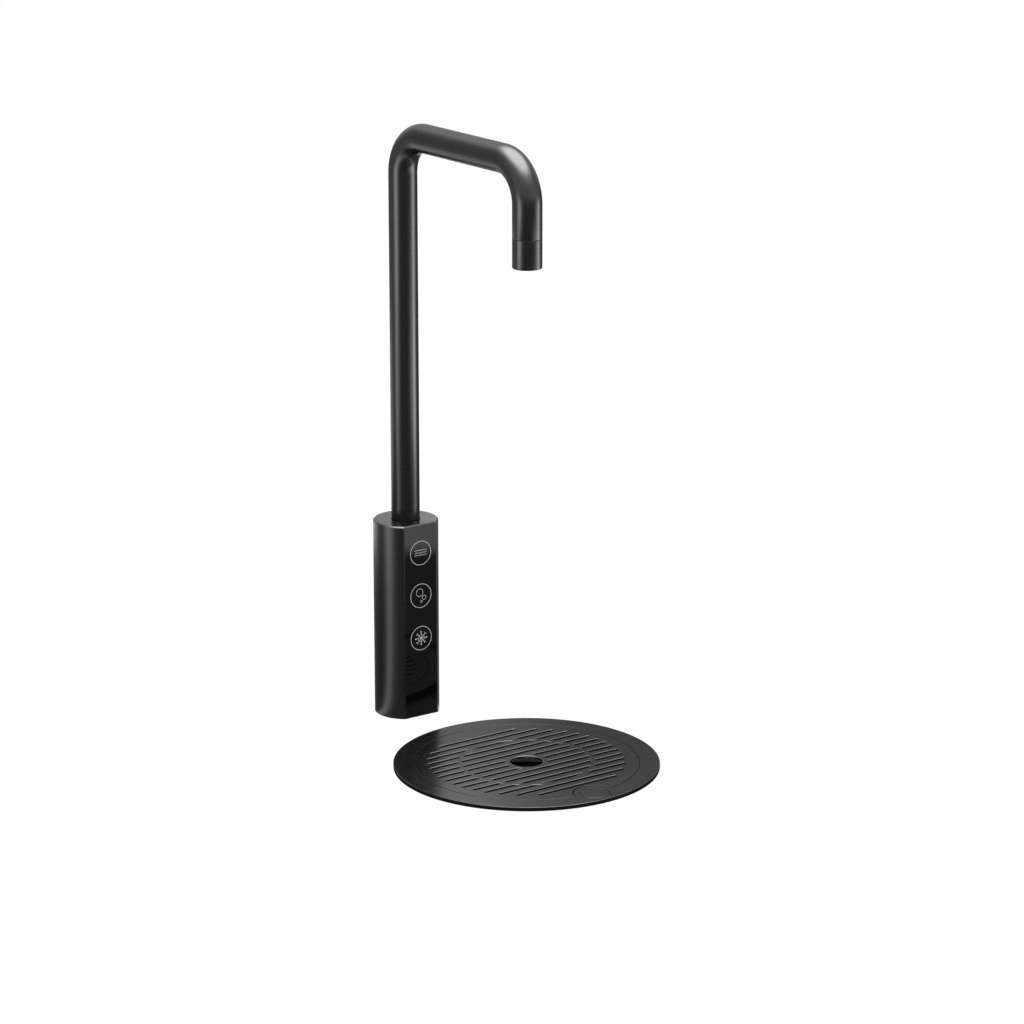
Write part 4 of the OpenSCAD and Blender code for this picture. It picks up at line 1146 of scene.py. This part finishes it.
dress(worked("dulled_steel", (0.035, 0.035, 0.036), (0.06, 0.06, 0.061), (0.4, 0.55), 1.0, grain=140,
             grain_mm=0.012), "tray_bowl")
dress(bright_steel, "bowl_screws", "strainer")
dress(worked("threaded_steel", *STEEL_TONES, (0.24, 0.4), 1.0, grain=30, grain_mm=0.004,
             stretch=LATHE_STRETCH, thread=(THREAD_PITCH, *DRAIN_THREAD)), "drain_spigot")
dress(grey_moulding, "drain_nut")
dress(rubber, "tray_gasket", "drain_seal")


# ---- tray clamps -------------------------------------------------------------------------------------
# Three threaded studs are welded under the bowl. On each a pressed steel claw, drawn up by a nut, grips
# the worktop from below.

STUD_PITCH = 0.0008
STUD_THREAD = (-0.06, -0.0315)

dress(worked("stud_steel", *STEEL_TONES, (0.24, 0.4), 1.0, grain=400, grain_mm=0.004,
             thread=(STUD_PITCH, *STUD_THREAD)), "clamp_studs")
dress(rolled_steel, "clamp_claws")
dress(bright_steel, "clamp_nuts")


# ---- floor, background and lamps ---------------------------------------------------------------------
# A pale floor that holds the object's shadow, a white background and two soft lamps. Round them stand cards
# that only reflections see: their tones draw the pale and dark bands on the polished black.

def seen(tree):
    """1 for rays from the camera, also by way of a mirror or through glass, and otherwise 0."""
    rays = new_node(tree, "ShaderNodeLightPath")
    ways = sums(tree, "ADD", rays.outputs["Is Camera Ray"], rays.outputs["Is Glossy Ray"])
    every_way = new_node(tree, "ShaderNodeMath", operation="ADD", use_clamp=True)
    tree.links.new(ways, every_way.inputs[0])
    tree.links.new(rays.outputs["Is Transmission Ray"], every_way.inputs[1])
    return every_way.outputs[0]


world = bpy.data.worlds.new("studio")
bpy.context.scene.world = world
world.use_nodes = True
background = world.node_tree.nodes["Background"]
background.inputs["Color"].default_value = (1, 1, 1, 1)
world.node_tree.links.new(ranged(world.node_tree, seen(world.node_tree), 0, 1, 0.8, 1.0),
                          background.inputs["Strength"])


def stage_object(name, points, faces, material, camera_sees=True):
    thing = placed(name, points, faces=faces)
    thing.data.materials.append(material)
    if not camera_sees:
        thing.visible_camera = False
        thing.visible_diffuse = False
        thing.visible_shadow = False


def floor_material():
    """Pale grey for light and shadow, and mostly plain white for what the camera sees."""
    material = bpy.data.materials.new("pale_floor")
    material.use_nodes = True
    tree = material.node_tree
    tree.nodes.remove(tree.nodes["Principled BSDF"])
    pale = new_node(tree, "ShaderNodeBsdfDiffuse", Color=(0.85, 0.85, 0.85, 1))
    glow = new_node(tree, "ShaderNodeEmission", Strength=1.04)
    mix = new_node(tree, "ShaderNodeMixShader")
    tree.links.new(sums(tree, "MULTIPLY", seen(tree), 0.9), mix.inputs["Fac"])
    tree.links.new(pale.outputs[0], mix.inputs[1])
    tree.links.new(glow.outputs[0], mix.inputs[2])
    tree.links.new(mix.outputs[0], tree.nodes["Material Output"].inputs["Surface"])
    return material


FLOOR_SIZE = 6.0
TRAY_HOLE_R = 0.088
STEM_HOLE_R = 0.014
FLOOR_Z = -0.0001

half = FLOOR_SIZE / 2
tray_hole = arc((0, TRAY_Y), TRAY_HOLE_R, 0, 2 * math.pi, 129)[:-1]
stem_hole = arc((0, 0), STEM_HOLE_R, 0, 2 * math.pi, 65)[:-1]
floor_outlines = [[(-half, -half), (half, -half), (half, half), (-half, half)], tray_hole, stem_hole]
stage_object("floor", [(x, y, FLOOR_Z) for outline in floor_outlines for x, y in outline],
             [tuple(corners) for corners in filled(floor_outlines)], floor_material())

STUDIO_R = 2.1
STUDIO_H = 2.1
CARD_LIFT = 0.00005
# Tones of the studio by compass bearing, in degrees from +X towards +Y, as the polished black sees them
FLOOR_NEAR = [(0, 0.17), (60, 0.2), (96, 0.18), (116, 0.13), (136, 0.12), (148, 0.12), (158, 0.22),
              (166, 0.55),
              (174, 1.1), (182, 0.85), (190, 0.4), (198, 0.22), (208, 0.16), (236, 0.14), (304, 0.17),
              (311, 0.25), (322, 1.4), (334, 0.8), (345, 0.2)]
FLOOR_MIDDLE = [(0, 0.15), (20, 0.1), (40, 0.15), (60, 0.4), (76, 1.25), (93, 1.25), (108, 1.35), (119, 1.1),
                (128, 0.5), (148, 0.4), (158, 0.8), (168, 1.75), (176, 1.75), (186, 0.95), (200, 0.24),
                (236, 0.155), (270, 0.18), (284, 0.6), (290, 1.2), (300, 1.4), (310, 1.7), (322, 5.2),
                (334, 2.4), (348, 0.4)]
FLOOR_FAR = [(0, 0.2), (20, 0.12), (40, 0.15), (60, 0.24), (80, 0.28), (96, 0.34), (106, 0.42), (126, 0.42),
             (140, 0.4), (150, 0.42), (160, 0.9), (168, 2.1), (175, 2.8), (182, 2.75), (190, 1.6),
             (198, 0.55), (210, 0.2), (236, 0.16), (266, 0.17), (280, 0.2), (292, 0.3), (302, 0.7),
             (312, 2.0), (322, 3.6), (332, 2.5), (342, 0.9), (352, 0.3)]
WALL_LOW = [(0, 0.2), (40, 0.3), (59, 0.4), (90, 0.45), (110, 0.38), (126, 0.28), (160, 0.3), (200, 0.22),
            (236, 0.19), (270, 0.15), (284, 0.12), (298, 0.28), (308, 0.7), (318, 1.1), (328, 0.9),
            (342, 0.35)]
WALL_HIGH = [(0, 0.75), (15, 0.9), (40, 0.8), (57, 0.8), (72, 1.0), (87, 1.1), (102, 0.7), (115, 0.42),
             (126, 0.36), (153, 0.5), (171, 0.6), (188, 0.62), (217, 0.6), (251, 0.6), (304, 0.75),
             (322, 0.55), (340, 0.55)]
CEILING = [(0.0, 7.0), (0.4, 7.0), (0.5, 6.2), (0.58, 4.6), (0.66, 2.8), (0.76, 1.7), (0.88, 1.2), (1.0, 0.9)]
CEILING_X = 0.22


def studio_material(name):
    """An even glow; returns the material, its node tree and the input for its strength."""
    material = bpy.data.materials.new(name)
    material.use_nodes = True
    tree = material.node_tree
    tree.nodes.remove(tree.nodes["Principled BSDF"])
    glow = new_node(tree, "ShaderNodeEmission")
    tree.links.new(glow.outputs[0], tree.nodes["Material Output"].inputs["Surface"])
    return material, tree, glow.inputs["Strength"]


def tone_ramp(tree, stops, share, whole=360.0, top=1.0):
    """Tones against a share of the whole; each is stored divided by top and raised again."""
    ramp = new_node(tree, "ShaderNodeValToRGB")
    tones = ramp.color_ramp.elements
    ramp.color_ramp.interpolation = "CARDINAL"
    tones[0].position = stops[0][0] / whole
    tones[0].color = (*[stops[0][1] / top] * 3, 1)
    tones[1].position = 1.0
    last = stops[0][1] if whole == 360.0 else stops[-1][1]
    tones[1].color = (*[last / top] * 3, 1)
    for place, tone in stops[1:]:
        if place / whole < 1.0:
            stop = tones.new(place / whole)
            stop.color = (*[tone / top] * 3, 1)
    tree.links.new(share, ramp.inputs[0])
    return sums(tree, "MULTIPLY", ramp.outputs[0], top)


def blend_by(tree, share, first, second):
    """first where the share is 0, second where it is 1."""
    return sums(tree, "MULTIPLY_ADD", sums(tree, "SUBTRACT", second, first), share, first)


def smooth_share(tree, value, low, high):
    node = new_node(tree, "ShaderNodeMapRange", interpolation_type="SMOOTHSTEP")
    node.inputs["From Min"].default_value = low
    node.inputs["From Max"].default_value = high
    tree.links.new(value, node.inputs["Value"])
    return node.outputs["Result"]


def studio_place(tree):
    """Compass share, distance from the font's axis, height, and distance from the tray's centre."""
    split = new_node(tree, "ShaderNodeSeparateXYZ")
    tree.links.new(object_coordinates(tree), split.inputs[0])
    x, y, z = split.outputs
    share = sums(tree, "WRAP", sums(tree, "DIVIDE", sums(tree, "ARCTAN2", y, x), 2 * math.pi), 1.0, 0.0)
    from_font = sums(tree, "SQRT", sums(tree, "MULTIPLY_ADD", x, x, sums(tree, "MULTIPLY", y, y)))
    past = sums(tree, "SUBTRACT", y, TRAY_Y)
    from_centre = sums(tree, "SQRT", sums(tree, "MULTIPLY_ADD", x, x, sums(tree, "MULTIPLY", past, past)))
    return share, from_font, z, from_centre


def floor_tones():
    material, tree, strength = studio_material("floor_tones")
    share, from_font, _, from_centre = studio_place(tree)
    near, middle, far = [tone_ramp(tree, tones, share, top=6.0)
                         for tones in (FLOOR_NEAR, FLOOR_MIDDLE, FLOOR_FAR)]
    tone = blend_by(tree, smooth_share(tree, from_font, 0.45, 0.5), near, middle)
    tone = blend_by(tree, smooth_share(tree, from_font, 0.8, 1.4), tone, far)
    off_tray = smooth_share(tree, from_centre, RIM_R + 0.003, RIM_R + 0.02)
    tone = sums(tree, "MULTIPLY", tone, sums(tree, "MULTIPLY_ADD", off_tray, 0.98, 0.02))
    tree.links.new(tone, strength)
    return material


def wall_tones():
    material, tree, strength = studio_material("wall_tones")
    share, _, height, _ = studio_place(tree)
    foot = tone_ramp(tree, FLOOR_FAR, share, top=4.0)
    low = tone_ramp(tree, WALL_LOW, share, top=2.0)
    high = tone_ramp(tree, WALL_HIGH, share, top=2.0)
    tone = blend_by(tree, smooth_share(tree, height, 0.2, 0.45), foot, low)
    tone = blend_by(tree, smooth_share(tree, height, 0.45, 0.62), tone, high)
    tone = blend_by(tree, smooth_share(tree, height, 1.4, 2.1), tone, sums(tree, "MULTIPLY", high, 1.3))
    tree.links.new(tone, strength)
    return material


def ceiling_tones():
    material, tree, strength = studio_material("ceiling_tones")
    apart = new_node(tree, "ShaderNodeVectorMath", operation="DISTANCE")
    apart.inputs[1].default_value = (CEILING_X, 0, STUDIO_H)
    tree.links.new(object_coordinates(tree), apart.inputs[0])
    share = sums(tree, "DIVIDE", apart.outputs["Value"], STUDIO_R)
    tree.links.new(tone_ramp(tree, CEILING, share, whole=1.0, top=7.0), strength)
    return material


STUDIO_PARTS = 96


def studio_ring(height):
    turns = [2 * math.pi * k / STUDIO_PARTS for k in range(STUDIO_PARTS)]
    return [(STUDIO_R * math.cos(a), STUDIO_R * math.sin(a), height) for a in turns]


card_outlines = [[(x, y) for x, y, _ in studio_ring(CARD_LIFT)], tray_hole]
stage_object("floor_card", [(x, y, CARD_LIFT) for outline in card_outlines for x, y in outline],
             [tuple(corners) for corners in filled(card_outlines)], floor_tones(), camera_sees=False)
wall_faces = [(k, (k + 1) % STUDIO_PARTS, STUDIO_PARTS + (k + 1) % STUDIO_PARTS, STUDIO_PARTS + k)
              for k in range(STUDIO_PARTS)]
stage_object("wall_card", studio_ring(CARD_LIFT) + studio_ring(STUDIO_H), wall_faces, wall_tones(),
             camera_sees=False)
stage_object("ceiling_card", studio_ring(STUDIO_H), [tuple(range(STUDIO_PARTS))], ceiling_tones(),
             camera_sees=False)

BACK_CARD_AT = 0.35
BACK_CARD_BEARING = math.radians(56.1)
BACK_CARD_SPAN = (-0.12, 0.28)
BACK_CARD_H = 0.31
# Tones along the back card from its left end, in metres: below, as the tray sees it, and above, for the font
BACK_CARD_LOW = [(-0.12, 0.47), (0.0, 0.46), (0.07, 0.44), (0.1, 0.37), (0.13, 0.245), (0.16, 0.195),
                 (0.28, 0.215)]
BACK_CARD_HIGH = [(-0.12, 0.45), (-0.07, 0.62), (-0.03, 0.72), (0.02, 1.0), (0.05, 1.08), (0.08, 0.65),
                  (0.11, 0.42), (0.28, 0.3)]


def back_card_tones():
    material, tree, strength = studio_material("back_card_tones")
    where = object_coordinates(tree)
    along = new_node(tree, "ShaderNodeVectorMath", operation="DOT_PRODUCT")
    along.inputs[1].default_value = (math.sin(BACK_CARD_BEARING), -math.cos(BACK_CARD_BEARING), 0)
    split = new_node(tree, "ShaderNodeSeparateXYZ")
    tree.links.new(where, along.inputs[0])
    tree.links.new(where, split.inputs[0])
    left, right = BACK_CARD_SPAN
    share = sums(tree, "DIVIDE", sums(tree, "SUBTRACT", along.outputs["Value"], left), right - left)
    low, high = [tone_ramp(tree, [((place - left) / (right - left), tone) for place, tone in tones], share,
                           whole=1.0, top=2.0) for tones in (BACK_CARD_LOW, BACK_CARD_HIGH)]
    tone = blend_by(tree, smooth_share(tree, split.outputs["Z"], 0.19, 0.22), low, high)
    tree.links.new(tone, strength)
    return material


card_out = Vector((math.cos(BACK_CARD_BEARING), math.sin(BACK_CARD_BEARING), 0))
card_along = Vector((card_out.y, -card_out.x, 0))
card_ends = [card_out * BACK_CARD_AT + card_along * reach for reach in BACK_CARD_SPAN]
card_corners = [end + Vector((0, 0, z)) for z in (CARD_LIFT, BACK_CARD_H) for end in card_ends]
stage_object("back_card", card_corners, [(0, 1, 3, 2)], back_card_tones(), camera_sees=False)


LAMP_AIM = (0, -0.08, 0.2)
LAMP_SIZE = 1.0


def soft_lamp(name, place, watts):
    lamp = bpy.data.objects.new(name, bpy.data.lights.new(name, "AREA"))
    lamp.data.shape = "RECTANGLE"
    lamp.data.size = LAMP_SIZE
    lamp.data.size_y = LAMP_SIZE
    lamp.data.energy = watts
    lamp.location = place
    lamp.rotation_euler = (Vector(LAMP_AIM) - Vector(place)).to_track_quat("-Z", "Y").to_euler()
    lamp.visible_camera = False
    lamp.visible_glossy = False
    bpy.context.scene.collection.objects.link(lamp)


soft_lamp("key_lamp", (-1.3, -1.4, 1.6), 14.0)
soft_lamp("fill_lamp", (1.5, -0.4, 1.4), 8.0)

bpy.context.scene.view_settings.view_transform = "Standard"
